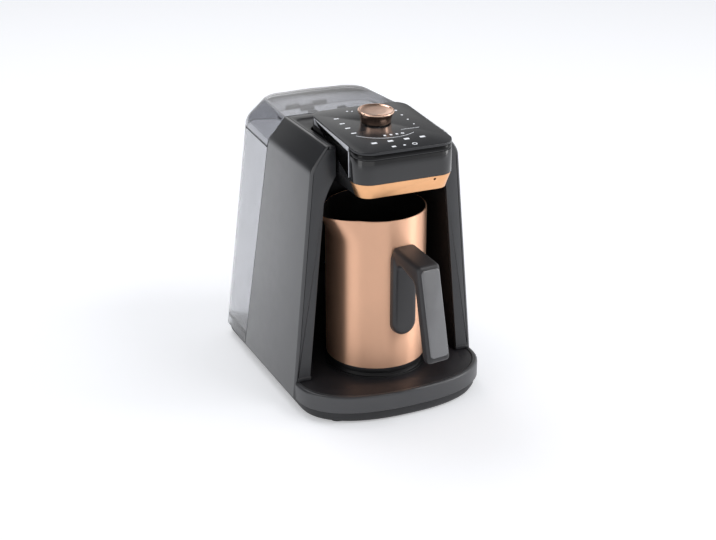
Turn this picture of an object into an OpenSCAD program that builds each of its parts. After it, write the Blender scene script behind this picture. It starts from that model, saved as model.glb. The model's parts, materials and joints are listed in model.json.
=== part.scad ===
// Electric turkish coffee maker: a leaning housing with a pot bay, a tilted touch panel with
// a turning knob, a copper pot on a hot plate, and a clear water tank with a hinged lid behind.
// Millimetres. +Z is up, -Y is the front where the pot comes out, x = 0 is the middle plane
// and z = 0 is the table.

/* [Body shell] */
// Width across the side panels at their foot
foot_w = 175; // [168:1:184]
// Width across the shoulders, where the panels turn inwards
shoulder_w = 137; // [133:1:143]
// Width between the top edges of the side panels
deck_w = 109; // [107:1:114]
// Height of the groove under the panels and the tank
groove_z = 10.5; // [9.5:0.5:11.5]
// Height of the shoulders
shoulder_z = 216.5; // [214:0.5:220]
// Height of the deck behind the head
deck_z = 235.5; // [233:0.5:238]
// Front face of the two wings
wing_y = -52; // [-56:1:-49]
// Seam between side panel and tank, at the groove
seam_foot_y = 68.5; // [66:0.5:74]
// Seam between side panel and tank, at the shoulder
seam_shoulder_y = 43.5; // [42:0.5:48]
// Seam between side panel and lid, at the deck
seam_deck_y = 40; // [38.5:0.5:43]
// Wall of the moulded shells
skin = 2.5; // [2:0.1:3]
// Visible seam between neighbouring shells
seam_gap = 0.4; // [0.3:0.05:0.6]

/* [Base] */
// Height of the rubber feet under the pan
foot_h = 1.5; // [1:0.25:3]
// Radius of a rubber foot
foot_r = 8; // [6:0.5:10]
// How far the pan stands in from the shells above it
pan_inset = 3; // [2:0.5:4]
// Floor of the base pan
pan_floor_t = 2; // [1.5:0.25:2.5]
// How far the tray reaches in front of the wings
tray_reach = 53.1; // [48:0.1:60]
// Width of the tray at the wings
tray_w = 172; // [168:1:173]
// Height of the tray's rim
tray_rim_z = 26; // [25:0.5:29]
// Width of the tray's rim
tray_rim_w = 4.5; // [3:0.5:7]
// Thickness of the mat
mat_t = 2; // [1:0.25:2.25]

/* [Hot plate] */
// How far the hot plate stands above the tray's rim
plate_rise = 2.5; // [2:0.25:4]
// Width of the plate's flange around its raised disc
plate_flange_w = 2.5; // [2:0.25:4]
// Mean radius of the heating element
element_r = 28; // [26:0.5:29]
// Tube radius of the heating element
element_tube_r = 3.3; // [2.5:0.1:3.5]
// Radius of the sprung sensor button
sensor_r = 4; // [3:0.25:4.5]
// How far the button stands above the plate
sensor_rise = 0.8; // [0.5:0.1:0.9]

/* [Pot] */
// Distance of the pot's middle line in front of the origin
pot_y = -31.4; // [-35:0.2:-28]
// Outer radius of the pot
pot_r = 44; // [42:0.5:46]
// Height of the copper shell
pot_h = 136.5; // [110:0.5:145]
// Wall of the pot
pot_wall = 1.2; // [0.8:0.1:1.6]
// Height of the black ring under the shell
pot_base_h = 5.3; // [5:0.1:7]
// How far the pot is turned about its middle line
pot_turn = 7; // [0:1:14]
// How far the pouring lip reaches beyond the shell
spout_reach = 12; // [9:0.5:14]
// Width of the handle's bar and grip
handle_w = 21.5; // [16:0.5:24]
// Width of the pad on the pot's wall
pad_w = 23.5; // [18:0.5:26]
// Length of the pad on the pot's wall
pad_h = 81; // [70:1:90]
// How far the handle's bar drops from the pot to the grip
bar_drop = 5; // [2:0.5:8]
// Height of the handle's bar
bar_h = 14; // [11:0.5:16]
// Distance of the grip's outer face from the middle line, at its top
grip_top_r = 84; // [80:0.5:88]
// Distance of the grip's outer face from the middle line, at its bottom
grip_foot_r = 103; // [98:0.5:106]
// Length of the grip
grip_h = 82; // [74:1:88]
// Depth of the grip
grip_depth = 12; // [10:0.5:15]

/* [Head] */
// Width of the head
head_w = 89; // [85:0.5:90]
// Front of the head
head_front_y = -95; // [-99:0.5:-90]
// Back of the head's panel
head_back_y = 10; // [6:0.5:13]
// Height of the panel at its front edge
panel_front_z = 239.4; // [237:0.2:242]
// Height of the panel at its back edge
panel_back_z = 246.6; // [244:0.2:250]
// Corner radius at the head's front
head_front_r = 15; // [10:0.5:18]
// Corner radius at the head's back
head_back_r = 13; // [8:0.5:16]
// Lower edge of the fascia
fascia_z = 212; // [209:0.5:214]
// Lower edge of the copper trim
trim_z = 199.3; // [197:0.1:202]
// How far the copper trim tapers in
trim_taper = 4.5; // [3:0.5:6]
// How far back the fascia and the trim wrap round the corners
wrap_y = -76; // [-79:0.5:-72]
// Thickness of the touch panel
panel_t = 2.5; // [2:0.25:3.5]

/* [Knob] */
// Distance of the knob in front of the origin
knob_y = -30.5; // [-36:0.5:-26]
// Radius of the knob's rim
knob_r = 15.5; // [13.5:0.5:17]
// Height of the knob
knob_h = 10.9; // [9.5:0.1:13]
// Radius of the knob's shaft
shaft_r = 3; // [2.5:0.1:3.5]

/* [Tank] */
// Back of the tank at the groove, at its corners
back_foot_y = 131; // [127:0.5:137]
// Back of the lid at the shoulders, at its corners
back_shoulder_y = 125.3; // [122:0.1:130]
// Back of the lid at the deck, at its corners
back_deck_y = 115; // [112:0.5:120]
// How far the back bulges between its corners
back_crown = 2; // [0:0.5:3]
// How much narrower the tank's foot is at the back than at the seam
foot_taper = 1; // [0.5:0.5:4]
// How much narrower the lid's top is at the back than at the seam
top_taper = 4; // [1:0.5:6]
// Corner radius at the tank's foot
tank_foot_r = 14; // [10:1:20]
// Corner radius at the lid's top
tank_top_r = 20; // [14:1:22]
// Wall of the tank
tank_wall = 2.5; // [2:0.1:3]
// Height of the seam between tank and lid
lid_seam_z = 208.5; // [204:0.5:212]
// Height of the plateau that the tank sits over
plateau_z = 18; // [17:0.5:21]
// Distance of the water outlet behind the origin
outlet_y = 94; // [92:0.5:98]
// Radius of the lid's hinge pin
hinge_pin_r = 1.2; // [1:0.1:1.4]

/* [Bay] */
// Width of a front pillar with the panel's edge
pillar_w = 14.3; // [12:0.1:15.5]
// Height at which the bay's corners begin to round
arch_z = 186; // [180:1:190]
// Height at which the bay narrows to the head's slot
slot_z = 209; // [205:1:214]
// Gap between the head and the wings' cheeks
cheek_gap = 1.5; // [1:0.1:2]
// Back wall of the pot bay
bay_back_y = 21; // [18:0.5:23]
// Wall of the bay's liner
liner_t = 2; // [1.5:0.1:2.5]

/* [Cord outlet] */
// Radius of the bore for the mains cord
gland_r = 3.3; // [2.8:0.1:3.5]
// Length of the cord gland
gland_len = 12; // [10:0.5:14]
// Distance of the gland to the side of the middle plane
gland_x = -28; // [-34:1:-22]

/* [Hidden] */
$fn = 64;

// Clearances
move_gap = 0.3;   // between bodies that move apart
run_gap = 0.05;   // radial, between a shaft and its bore
fit_gap = 0.1;    // between parts that are screwed or pressed together

// Half width of the body's outer face at a height
function half_w(z) = z < shoulder_z
  ? foot_w/2 + (shoulder_w - foot_w)/2 * (z - groove_z)/(shoulder_z - groove_z)
  : shoulder_w/2 + (deck_w - shoulder_w)/2 * (z - shoulder_z)/(deck_z - shoulder_z);
// Seam between the side panel and the tank at a height
function seam_y(z) = z < shoulder_z
  ? seam_foot_y + (seam_shoulder_y - seam_foot_y) * (z - groove_z)/(shoulder_z - groove_z)
  : seam_shoulder_y + (seam_deck_y - seam_shoulder_y) * (z - shoulder_z)/(deck_z - shoulder_z);
// A value that runs evenly from the groove to the deck
function up_body(z, at_foot, at_deck) =
  at_foot + (at_deck - at_foot) * (z - groove_z)/(deck_z - groove_z);
function back_y(z) = z < shoulder_z
  ? back_foot_y + (back_shoulder_y - back_foot_y) * (z - groove_z)/(shoulder_z - groove_z)
  : back_shoulder_y + (back_deck_y - back_shoulder_y) * (z - shoulder_z)/(deck_z - shoulder_z);
function back_taper(z) = up_body(z, foot_taper, top_taper);
function pillar_in(z) = half_w(z) - pillar_w;
function pillar_out(z) = half_w(z) - skin - seam_gap;

function arc(c, r, a0, a1, n = 6) =
  [for (i = [0:n]) let (a = a0 + (a1 - a0)*i/n) [c[0] + r*cos(a), c[1] + r*sin(a)]];
function mirrored(half) = concat(half, [for (i = [len(half)-1:-1:0]) [-half[i][0], half[i][1]]]);
function rounded(w, y0, y1, r_front, r_back, n = 8) = concat(
  arc([w/2 - r_front, y0 + r_front], r_front, -90, 0, n),
  arc([w/2 - r_back, y1 - r_back], r_back, 0, 90, n),
  arc([-w/2 + r_back, y1 - r_back], r_back, 90, 180, n),
  arc([-w/2 + r_front, y0 + r_front], r_front, 180, 270, n));

// A solid through rings of equally many points, one ring at each height
module loft(heights, rings) {
  n = len(rings[0]);
  m = len(rings);
  points = [for (k = [0:m-1]) for (p = rings[k]) [p[0], p[1], heights[k]]];
  walls = [for (k = [0:m-2]) for (i = [0:n-1])
    let (a = k*n + i, b = k*n + (i + 1)%n) each [[a, a + n, b + n], [a, b + n, b]]];
  polyhedron(points, concat([[for (i = [0:n-1]) i]], [[for (i = [n-1:-1:0]) (m-1)*n + i]], walls));
}

// A round tube along a list of points
function unit(v) = v/norm(v);
function heading(p, i) = unit(p[min(i + 1, len(p) - 1)] - p[max(i - 1, 0)]);
function sideways(p, i, last) = i >= len(p) ? [] :
  let (t = heading(p, i), side = unit(last - t*(last*t))) concat([side], sideways(p, i + 1, side));
function blend4(a, b, c, d, t) =
  0.5*(2*b + (c - a)*t + (2*a - 5*b + 4*c - d)*t*t + (3*b - a - 3*c + d)*t*t*t);
function smooth(p, k) = concat([for (i = [0:len(p)-2]) for (j = [0:k-1])
  blend4(p[max(i - 1, 0)], p[i], p[i + 1], p[min(i + 2, len(p) - 1)], j/k)], [p[len(p)-1]]);
module tube(p, r, sides = 8) {
  first = heading(p, 0);
  side = sideways(p, 0, abs(first[2]) < 0.9 ? [0, 0, 1] : [1, 0, 0]);
  n = len(p);
  points = [for (i = [0:n-1]) let (t = heading(p, i), up = cross(t, side[i]))
    for (k = [0:sides-1]) p[i] + r*(cos(360*k/sides)*side[i] + sin(360*k/sides)*up)];
  walls = [for (i = [0:n-2]) for (k = [0:sides-1])
    let (a = i*sides + k, b = i*sides + (k + 1)%sides)
    each [[a, a + sides, b + sides], [a, b + sides, b]]];
  caps = [[for (k = [0:sides-1]) k], [for (k = [sides-1:-1:0]) (n-1)*sides + k]];
  polyhedron(points, concat(caps, walls));
}
function coil(r, z0, z1, turns) = [for (i = [0:8*turns])
  [r*cos(45*i), r*sin(45*i), z0 + (z1 - z0)*i/(8*turns)]];

module at(x, y, z) { translate([x, y, z]) children(); }
module ring_at(z, h, r_out, r_in) {
  at(0, 0, z) difference() {
    cylinder(h = h, r = r_out);
    at(0, 0, -1) cylinder(h = h + 2, r = r_in);
  }
}
module block(lo, hi) { translate(lo) cube(hi - lo); }

// ---------------------------------------------------------------- outlines of the body

// Tank and lid, from the seam to the crowned back; inset all round
function block_ring(z, inset, front_y) = let (
  w = half_w(z) - inset,
  wb = w - back_taper(z),
  r = up_body(z, tank_foot_r, tank_top_r) - inset,
  yb = back_y(z) - inset,
  half = concat([[w, front_y]], arc([wb - r, yb - r], r, 0, 90, 6),
    [for (i = [1:6]) let (x = (wb - r)*(1 - i/6))
      [x, yb + back_crown*(1 + cos(180*x/(wb - r)))/2]]))
  concat(half, [for (i = [len(half)-2:-1:0]) [-half[i][0], half[i][1]]]);

// Nose of the tray in front of the wings: half a superellipse
nose_power = 2.35;
nose_steps = 30;
nose_y = wing_y - seam_gap;
function sgn_pow(v) = sign(v)*pow(abs(v), 2/nose_power);
function nose_arc(inset, half = tray_w/2) = [for (i = [0:nose_steps]) let (a = 180 + 180*i/nose_steps)
  [(half - inset)*sgn_pow(cos(a)), nose_y + (tray_reach - inset)*sgn_pow(sin(a))]];
function nose_ring(inset, y1) =
  concat(nose_arc(inset), [[tray_w/2 - inset, y1], [-tray_w/2 + inset, y1]]);

// The pan runs under tray, panels and tank in one closed outline
function pan_ring(inset) = let (
  wb = half_w(groove_z) - foot_taper - pan_inset - inset,
  r = tank_foot_r - pan_inset,
  nose_inset = pan_inset/2 + inset,
  yb = back_y(groove_z) - pan_inset - inset)
  concat(nose_arc(nose_inset, wb + nose_inset), arc([wb - r, yb - r], r, 0, 90, 6),
    [for (i = [1:5]) let (x = (wb - r)*(1 - i/3))
      [x, yb + back_crown*(1 + cos(180*x/(wb - r)))/2]],
    arc([-wb + r, yb - r], r, 90, 180, 6));

// ---------------------------------------------------------------- base

pan_floor_z = foot_h + pan_floor_t;
pan_top_z = groove_z - 0.8;
screw_r = 1.6;
screw_head_r = 3.2;
screw_head_h = 2;
screw_boss_r = 4.6;
front_screws = [[-56, -66], [56, -66], [-60, 4], [60, 4]];
back_screws = [[-52, 102], [52, 102]];
foot_stem_r = 2.5;
foot_places = [[-58, -80], [58, -80], [-64, 106], [64, 106]];
tray_floor_z = tray_rim_z - mat_t - 0.5;
tray_floor_t = 2.5;
tray_under_z = tray_floor_z - tray_floor_t;
shelf_t = 2.3;
shelf_top_z = groove_z - seam_gap;
screw_tip_z = tray_under_z - 1.5;
pan_boss_z = shelf_top_z - shelf_t - fit_gap;

module pan_hollow() {
  loft([pan_floor_z, pan_floor_z + 2, groove_z],
    [pan_ring(skin + 2.2), pan_ring(skin + 0.4), pan_ring(skin)]);
}
module pan_solid() {
  loft([foot_h, foot_h + 3, pan_top_z], [pan_ring(2.2), pan_ring(0.4), pan_ring(0)]);
}
// Saddles under the pump's rubber rings
module pump_saddles() {
  difference() {
    for (x = mount_x) block([x - 2.6, pump_y - 15, foot_h + 0.5], [x + 2.6, pump_y + 15, pump_z - 3]);
    at(pump_x0, pump_y, pump_z) rotate([0, 90, 0])
      cylinder(h = pump_x1 - pump_x0, r = pump_r + mount_t + 0.05);
  }
}
module base_pan() {
  color("#2b2c2f") difference() {
    union() {
      difference() {
        pan_solid();
        pan_hollow();
      }
      pump_saddles();
      for (p = concat(front_screws, back_screws))
        at(p[0], p[1], foot_h + 0.5) cylinder(h = pan_boss_z - foot_h - 0.5, r = screw_boss_r);
      at(flow_x, pump_y, foot_h + 0.5) cylinder(h = flow_z - foot_h - 0.5, r = 6);
      intersection() {
        block([gland_x - 12, gland_wall_y - 9, foot_h + 0.5], [gland_x + 12, gland_wall_y + 20, pan_boss_z]);
        pan_solid();
      }
    }
    for (p = concat(front_screws, back_screws)) {
      at(p[0], p[1], 0) cylinder(h = foot_h + 0.4 + screw_head_h, r = screw_head_r + 0.3);
      at(p[0], p[1], 0) cylinder(h = 40, r = screw_r + fit_gap);
    }
    for (p = foot_places) at(p[0], p[1], 0) cylinder(h = 40, r = foot_stem_r + fit_gap);
    // slot for the cord gland, open at the top, and the cord's way in behind it
    for (up = [0, gland_h]) at(0, 0, up) gland_body(fit_gap);
    block([gland_x - 5, gland_wall_y - 30, pan_floor_z], [gland_x + 5, gland_wall_y - 5, groove_z]);
  }
}

module rubber_feet() {
  color("#151515") for (p = foot_places) at(p[0], p[1], 0) {
    cylinder(h = foot_h, r = foot_r);
    cylinder(h = pan_floor_z + 1.5, r = foot_stem_r);
    at(0, 0, pan_floor_z) cylinder(h = 1.5, r = foot_stem_r + 0.8);
  }
}

module screw(length, head_h = screw_head_h) {
  cylinder(h = head_h, r = screw_head_r);
  cylinder(h = length, r = screw_r);
}
module housing_screws() {
  color("#b9bbbf") {
    for (p = front_screws) at(p[0], p[1], foot_h + 0.4) screw(screw_tip_z - foot_h);
    for (p = back_screws) at(p[0], p[1], foot_h + 0.4) screw(plateau_z - 6 - foot_h);
    for (x = neck_screws) at(x, bay_back_y + liner_t + 2, neck_screw_z) rotate([90, 0, 0]) screw(11);
    for (p = board_posts) at(p[0], board_y + board_t + screw_head_h, p[1]) rotate([90, 0, 0])
      screw(board_t + screw_head_h + 4);
  }
}

// ---------------------------------------------------------------- tray, mat and hot plate

plate_r = pot_r - 2.5;
plate_top_z = tray_rim_z + plate_rise;
flange_r = plate_r + plate_flange_w;
gasket_z = tray_floor_z;
gasket_t = 0.8;
plate_under_z = gasket_z + gasket_t;
tray_hole_r = flange_r - 6;
rear_w = 2*(half_w(tray_rim_z) - skin - seam_gap - 0.6);
bay_floor_w = 2*(pillar_in(tray_rim_z) - 0.5);
element_z = plate_under_z - element_tube_r;
stud_x = 14;
stud_r = 2;
bracket_z = element_z - element_tube_r - 4;
bracket_t = 1.5;
bracket_w = 13;
bracket_l = 2*(flange_r + 2);

module mat_outline(inset) {
  union() {
    polygon(nose_ring(tray_rim_w + inset, wing_y + frame_t - 0.5));
    translate([-bay_floor_w/2 + inset, wing_y - 6 + inset])
      square([bay_floor_w - 2*inset, bay_back_y - wing_y + 6 - 0.4 - 2*inset]);
  }
}
module front_tray() {
  color("#3a3b3e") difference() {
    union() {
      at(0, 0, groove_z) linear_extrude(tray_rim_z - groove_z) polygon(nose_ring(0, nose_y));
      block([-rear_w/2, nose_y - 10, tray_under_z], [rear_w/2, bay_back_y - 0.4, tray_floor_z]);
    }
    // hollow under the nose
    difference() {
      at(0, 0, 0) linear_extrude(tray_under_z) polygon(nose_ring(skin, nose_y + 1));
      for (p = front_screws) at(p[0], p[1], pan_boss_z + fit_gap) cylinder(h = 60, r = screw_boss_r);
    }
    // recess that holds the mat
    at(0, 0, tray_floor_z) linear_extrude(20) mat_outline(0);
    at(0, pot_y, 0) cylinder(h = 60, r = tray_hole_r);
    for (p = front_screws) at(p[0], p[1], 0) cylinder(h = screw_tip_z + 0.5, r = screw_r + 0.02);
  }
  color("#3a3b3e") for (p = [front_screws[2], front_screws[3]]) difference() {
    at(p[0], p[1], pan_boss_z + fit_gap)
      cylinder(h = tray_under_z - pan_boss_z - fit_gap, r = screw_boss_r);
    at(p[0], p[1], 0) cylinder(h = screw_tip_z + 0.5, r = screw_r + 0.02);
  }
}

module tray_mat() {
  color("#1d1d1f") difference() {
    at(0, 0, tray_floor_z) linear_extrude(mat_t) mat_outline(0.3);
    at(0, pot_y, 0) cylinder(h = 60, r = flange_r + 0.4);
  }
}

module plate_gasket() {
  color("#8d3b2c") at(0, pot_y, 0)
    ring_at(gasket_z, gasket_t, flange_r - 0.5, tray_hole_r + 0.6);
}

module heating_plate() {
  color("#55565a") at(0, pot_y, 0) {
    difference() {
      union() {
        at(0, 0, plate_under_z) cylinder(h = tray_rim_z - 0.3 - plate_under_z, r = flange_r);
        at(0, 0, plate_under_z) cylinder(h = plate_top_z - plate_under_z, r = plate_r);
        for (s = [-1, 1]) at(s*stud_x, 0, bracket_z - 5)
          cylinder(h = plate_under_z - bracket_z + 5.5, r = stud_r);
      }
      at(0, 0, 0) cylinder(h = 60, r = sensor_r + 0.4);
    }
  }
}

terminal_angle = 57;
terminal_drop = 5;
module heating_element() {
  color("#77706a") at(0, pot_y, element_z) {
    rotate([0, 0, 120]) rotate_extrude(angle = 300)
      translate([element_r, 0]) circle(r = element_tube_r, $fn = 12);
    for (a = [terminal_angle, 180 - terminal_angle]) rotate([0, 0, a])
      block([element_r - 1.2, -1.2, -element_tube_r - terminal_drop], [element_r + 1.2, 1.2, 0]);
  }
}

module plate_bracket() {
  color("#a9abae") at(0, pot_y, 0) difference() {
    union() {
      block([-bracket_l/2, -bracket_w/2, bracket_z], [bracket_l/2, bracket_w/2, bracket_z + bracket_t]);
      for (s = [-1, 1]) block([s*(bracket_l/2 - 1) - 1, -bracket_w/2, bracket_z],
                              [s*(bracket_l/2 - 1) + 1, bracket_w/2, tray_under_z]);
    }
    for (s = [-1, 1]) at(s*stud_x, 0, 0) cylinder(h = 60, r = stud_r + fit_gap);
    at(0, 0, 0) cylinder(h = 60, r = holder_r + fit_gap);
  }
}

module plate_nuts() {
  color("#c2c4c7") at(0, pot_y, 0) for (s = [-1, 1]) at(s*stud_x, 0, bracket_z - 3) difference() {
    cylinder(h = 3, r = 4, $fn = 6);
    at(0, 0, -1) cylinder(h = 5, r = stud_r + 0.02);
  }
}

// Sprung sensor button in the middle of the plate
holder_r = sensor_r + 2.2;
sensor_flange_z = plate_under_z - 2.6;
spring_foot_z = bracket_z - 1.5;
module sensor_holder() {
  color("#d8d4c8") at(0, pot_y, 0) difference() {
    union() {
      at(0, 0, spring_foot_z - 1.5) cylinder(h = plate_under_z - 0.1 - spring_foot_z + 1.5, r = holder_r);
      at(0, 0, bracket_z - 1.5) cylinder(h = 1.4, r = holder_r + 2);
    }
    at(0, 0, spring_foot_z) cylinder(h = 60, r = sensor_r + 0.9);
  }
  color("#d8d4c8") at(0, pot_y, 0)
    ring_at(plate_under_z - 1.6, 1.5, sensor_r + 1, sensor_r + run_gap);
}
module pot_sensor() {
  color("#c9cbce") at(0, pot_y, 0) {
    at(0, 0, sensor_flange_z) cylinder(h = plate_top_z + sensor_rise - sensor_flange_z, r = sensor_r);
    at(0, 0, sensor_flange_z - 1) cylinder(h = 1.6, r = sensor_r + 0.6);
  }
}
module sensor_spring() {
  color("#9a9ca0") at(0, pot_y, 0)
    tube(coil(sensor_r - 1.2, spring_foot_z + 0.5, sensor_flange_z - 1.5, 4), 0.4, 6);
}

module thermal_fuse() {
  color("#cfc9bb") at(0, pot_y + 15, plate_under_z - 4.4) {
    at(0, 0, 0) cylinder(h = 4.3, r = 5.5);
    block([-9, -1.5, 1], [9, 1.5, 2.4]);
  }
}

// ---------------------------------------------------------------- shells

panel_round = 1.8;
// Horizontal section of a panel: a plate with a rounded front edge, on the +X side
function panel_section(z) = let (w = half_w(z), r = panel_round)
  concat([[w - skin, wing_y]], arc([w - r, wing_y + r], r, -90, 0, 5),
    [[w, seam_y(z) - seam_gap/2], [w - skin, seam_y(z) - seam_gap/2]]);
module side_panel() {
  loft([groove_z, shoulder_z, deck_z],
    [panel_section(groove_z), panel_section(shoulder_z), panel_section(deck_z)]);
}
module side_panel_right() { color("#4a4b50") side_panel(); }
module side_panel_left() { color("#4a4b50") mirror([1, 0, 0]) side_panel(); }

cheek_x = head_w/2 + cheek_gap;
deck_t = 3;
deck_under_z = deck_z - deck_t;
frame_t = 3;
frame_foot_z = tray_rim_z + 0.2;
// Inner edge of the bay from its foot up to the head's slot, on the +X side
function bay_edge(z0, z1, out) = let (
  a = [pillar_in(arch_z), arch_z], c = [cheek_x, slot_z],
  b = [pillar_in(arch_z) - 3.5, (arch_z + slot_z)/2 - 0.5])
  concat([[pillar_in(z0) + out, z0]],
    [for (i = [0:6]) let (t = i/6, p = a*(1-t)*(1-t) + 2*b*t*(1-t) + c*t*t) [p[0] + out, p[1]]],
    [[cheek_x + out, z1]]);
function backwards(list) = [for (i = [len(list)-1:-1:0]) list[i]];
module along_y(y0, y1, points) {
  translate([0, y1, 0]) rotate([90, 0, 0]) linear_extrude(y1 - y0) polygon(points);
}
module both_sides() { children(); mirror([1, 0, 0]) children(); }

module front_frame() {
  color("#3d3e42") both_sides() {
    along_y(wing_y, wing_y + frame_t, concat(bay_edge(frame_foot_z, deck_under_z - fit_gap, 0),
      [[pillar_out(deck_under_z), deck_under_z - fit_gap], [pillar_out(shoulder_z), shoulder_z],
       [pillar_out(frame_foot_z), frame_foot_z]]));
    // low plinth where the pillar stands on the tray
    along_y(wing_y - 0.9, wing_y + 1, [[pillar_in(frame_foot_z) - 0.6, frame_foot_z],
      [pillar_out(frame_foot_z), frame_foot_z], [pillar_out(frame_foot_z + 3), frame_foot_z + 3],
      [pillar_in(frame_foot_z + 3) - 0.6, frame_foot_z + 3]]);
  }
}

liner_top_z = deck_under_z - fit_gap;
module bay_liner() {
  color("#121214") difference() {
    union() {
      both_sides() along_y(wing_y + frame_t + fit_gap, bay_back_y + liner_t, concat(
        bay_edge(tray_floor_z, liner_top_z, 0), backwards(bay_edge(tray_floor_z, liner_top_z, liner_t))));
      along_y(bay_back_y, bay_back_y + liner_t,
        mirrored(bay_edge(tray_floor_z, liner_top_z, liner_t)));
      for (p = board_posts) at(p[0], board_y - fit_gap, p[1]) rotate([90, 0, 0])
        cylinder(h = board_y - bay_back_y - fit_gap - 0.5, r = 3.2);
    }
    at(0, bay_back_y - 5, neck_z) rotate([-90, 0, 0]) cylinder(h = 20, r = pass_r);
    for (x = neck_screws) at(x, bay_back_y - 5, neck_screw_z) rotate([-90, 0, 0])
      cylinder(h = 20, r = screw_r + fit_gap);
    for (p = board_posts) at(p[0], bay_back_y - 0.5, p[1]) rotate([-90, 0, 0])
      cylinder(h = 20, r = screw_r + 0.02);
  }
}

deck_half = deck_w/2 - skin - seam_gap;
module top_deck() {
  color("#38393d") difference() {
    at(0, 0, deck_under_z) linear_extrude(deck_t) polygon(mirrored(
      [[deck_half, wing_y], [deck_half, seam_y(deck_z) - seam_gap]]));
    at(0, 0, deck_under_z - 1) linear_extrude(deck_t + 2)
      polygon(rounded(2*cheek_x, wing_y - 60, head_back_y + cheek_gap, 5, head_back_r));
    // shallow field inside the raised border
    at(0, 0, deck_z - 1.2) linear_extrude(5)
      polygon(rounded(2*deck_half - 5, wing_y - 30, seam_y(deck_z) - 10, 4, 6));
  }
}

back_gap = 0.8;
function wall_ring(z) = let (w = half_w(z) - skin - seam_gap, y = seam_y(z) - back_gap)
  [[w, y - skin], [w, y], [-w, y], [-w, y - skin]];
wall_foot_z = pan_top_z + 0.2;
wall_top_z = deck_under_z - fit_gap;
// the plateau stands inside the pan's wall
plateau_gap = pan_inset + foot_taper + skin + 0.6 - tank_wall;
function plateau_ring(z, inset) =
  block_ring(z, tank_wall + plateau_gap + inset, seam_y(z) + tank_wall + 1.5 + inset);
module back_shell() {
  color("#2e2f33") difference() {
    union() {
      loft([wall_foot_z, shoulder_z, wall_top_z],
        [wall_ring(wall_foot_z), wall_ring(shoulder_z), wall_ring(wall_top_z)]);
      intersection() {
        at(0, 0, shelf_top_z - shelf_t) linear_extrude(shelf_t) polygon(pan_ring(skin + 0.4));
        block([-200, seam_foot_y - back_gap - skin, 0], [200, 200, 60]);
      }
      difference() {
        loft([shelf_top_z - shelf_t, plateau_z],
          [plateau_ring(shelf_top_z, 0), plateau_ring(plateau_z, 0)]);
        loft([shelf_top_z - shelf_t - 1, plateau_z - 2],
          [plateau_ring(shelf_top_z, 2), plateau_ring(plateau_z, 2)]);
      }
      for (p = back_screws) at(p[0], p[1], pan_boss_z + fit_gap)
        cylinder(h = plateau_z - 1 - pan_boss_z - fit_gap, r = screw_boss_r);
    }
    // open underneath the plateau, apart from the screw bosses
    difference() {
      loft([shelf_top_z - shelf_t - 1, shelf_top_z + 1],
        [plateau_ring(shelf_top_z, 2), plateau_ring(shelf_top_z, 2)]);
      for (p = back_screws) at(p[0], p[1], 0) cylinder(h = 60, r = screw_boss_r);
    }
    for (p = back_screws) at(p[0], p[1], 0) cylinder(h = plateau_z - 5, r = screw_r + 0.02);
    at(0, outlet_y, 0) cylinder(h = 60, r = post_r + fit_gap);
    gland_body(0.2);
    // way through the wall's foot for the supply hose
    block([flow_x - 6, seam_foot_y - 20, shelf_top_z - shelf_t - 1],
          [flow_x + 6, seam_foot_y + 20, shelf_top_z + 6]);
  }
}

// ---------------------------------------------------------------- head

tilt = atan((panel_back_z - panel_front_z)/(head_back_y - head_front_y));
panel_len = (head_back_y - head_front_y)/cos(tilt);
// The panel's own frame: x across, y up the slope from its front edge, z out of its face
module on_panel() { translate([0, head_front_y, panel_front_z]) rotate([tilt, 0, 0]) children(); }
function up_slope(y) = (y - head_front_y)/cos(tilt);
function head_ring(inset) = rounded(head_w - 2*inset, head_front_y + inset, head_back_y - inset,
  head_front_r - inset, head_back_r - inset);
head_wall = 2.2;
fascia_t = 1.5;
strip_t = 0.8;
neck_w = 72;
neck_z = fascia_z + 9.5;
neck_screws = [-27, 27];
neck_screw_z = neck_z;
pass_r = 8;

module above_panel(depth) { on_panel() block([-200, -100, -depth], [200, 300, 100]); }
module behind_wrap() { block([-200, wrap_y, 0], [200, 200, 400]); }
module front_of_wrap() { block([-200, -300, 0], [200, wrap_y - 0.2, 400]); }

module head_shell() {
  color("#101012") difference() {
    union() {
      difference() {
        at(0, 0, fascia_z) linear_extrude(60) union() {
          polygon(head_ring(fascia_t + 0.2));
          intersection() {
            polygon(head_ring(0));
            translate([-200, wrap_y]) square([400, 400]);
          }
        }
        at(0, 0, fascia_z - 1) linear_extrude(80) polygon(head_ring(fascia_t + head_wall));
        above_panel(panel_t + fit_gap);
      }
      difference() {
        block([-neck_w/2, head_back_y - 4, neck_z - 8.5], [neck_w/2, bay_back_y - fit_gap, neck_z + 8.5]);
        block([-neck_w/2 + 2.4, head_back_y - 10, neck_z - 6.3],
              [neck_w/2 - 2.4, bay_back_y - fit_gap - 2.4, neck_z + 6.3]);
      }
      for (x = neck_screws) at(x, bay_back_y - 0.5, neck_screw_z) rotate([90, 0, 0])
        cylinder(h = 9, r = 3.4);
    }
    // ways for the hose, the cable and the screws
    block([-14, head_back_y - 12, neck_z - 6.3], [14, bay_back_y - 4, neck_z + 6.3]);
    at(0, head_back_y, neck_z) rotate([-90, 0, 0]) cylinder(h = 40, r = pass_r - 1);
    for (x = neck_screws) at(x, bay_back_y + 5, neck_screw_z) rotate([90, 0, 0])
      cylinder(h = 13, r = screw_r + 0.02);
  }
}

module head_fascia() {
  color("#1b1b1e") intersection() {
    difference() {
      at(0, 0, fascia_z + 0.2) linear_extrude(60) difference() {
        polygon(head_ring(0));
        polygon(head_ring(fascia_t));
      }
      above_panel(panel_t + fit_gap);
    }
    front_of_wrap();
  }
}

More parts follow.
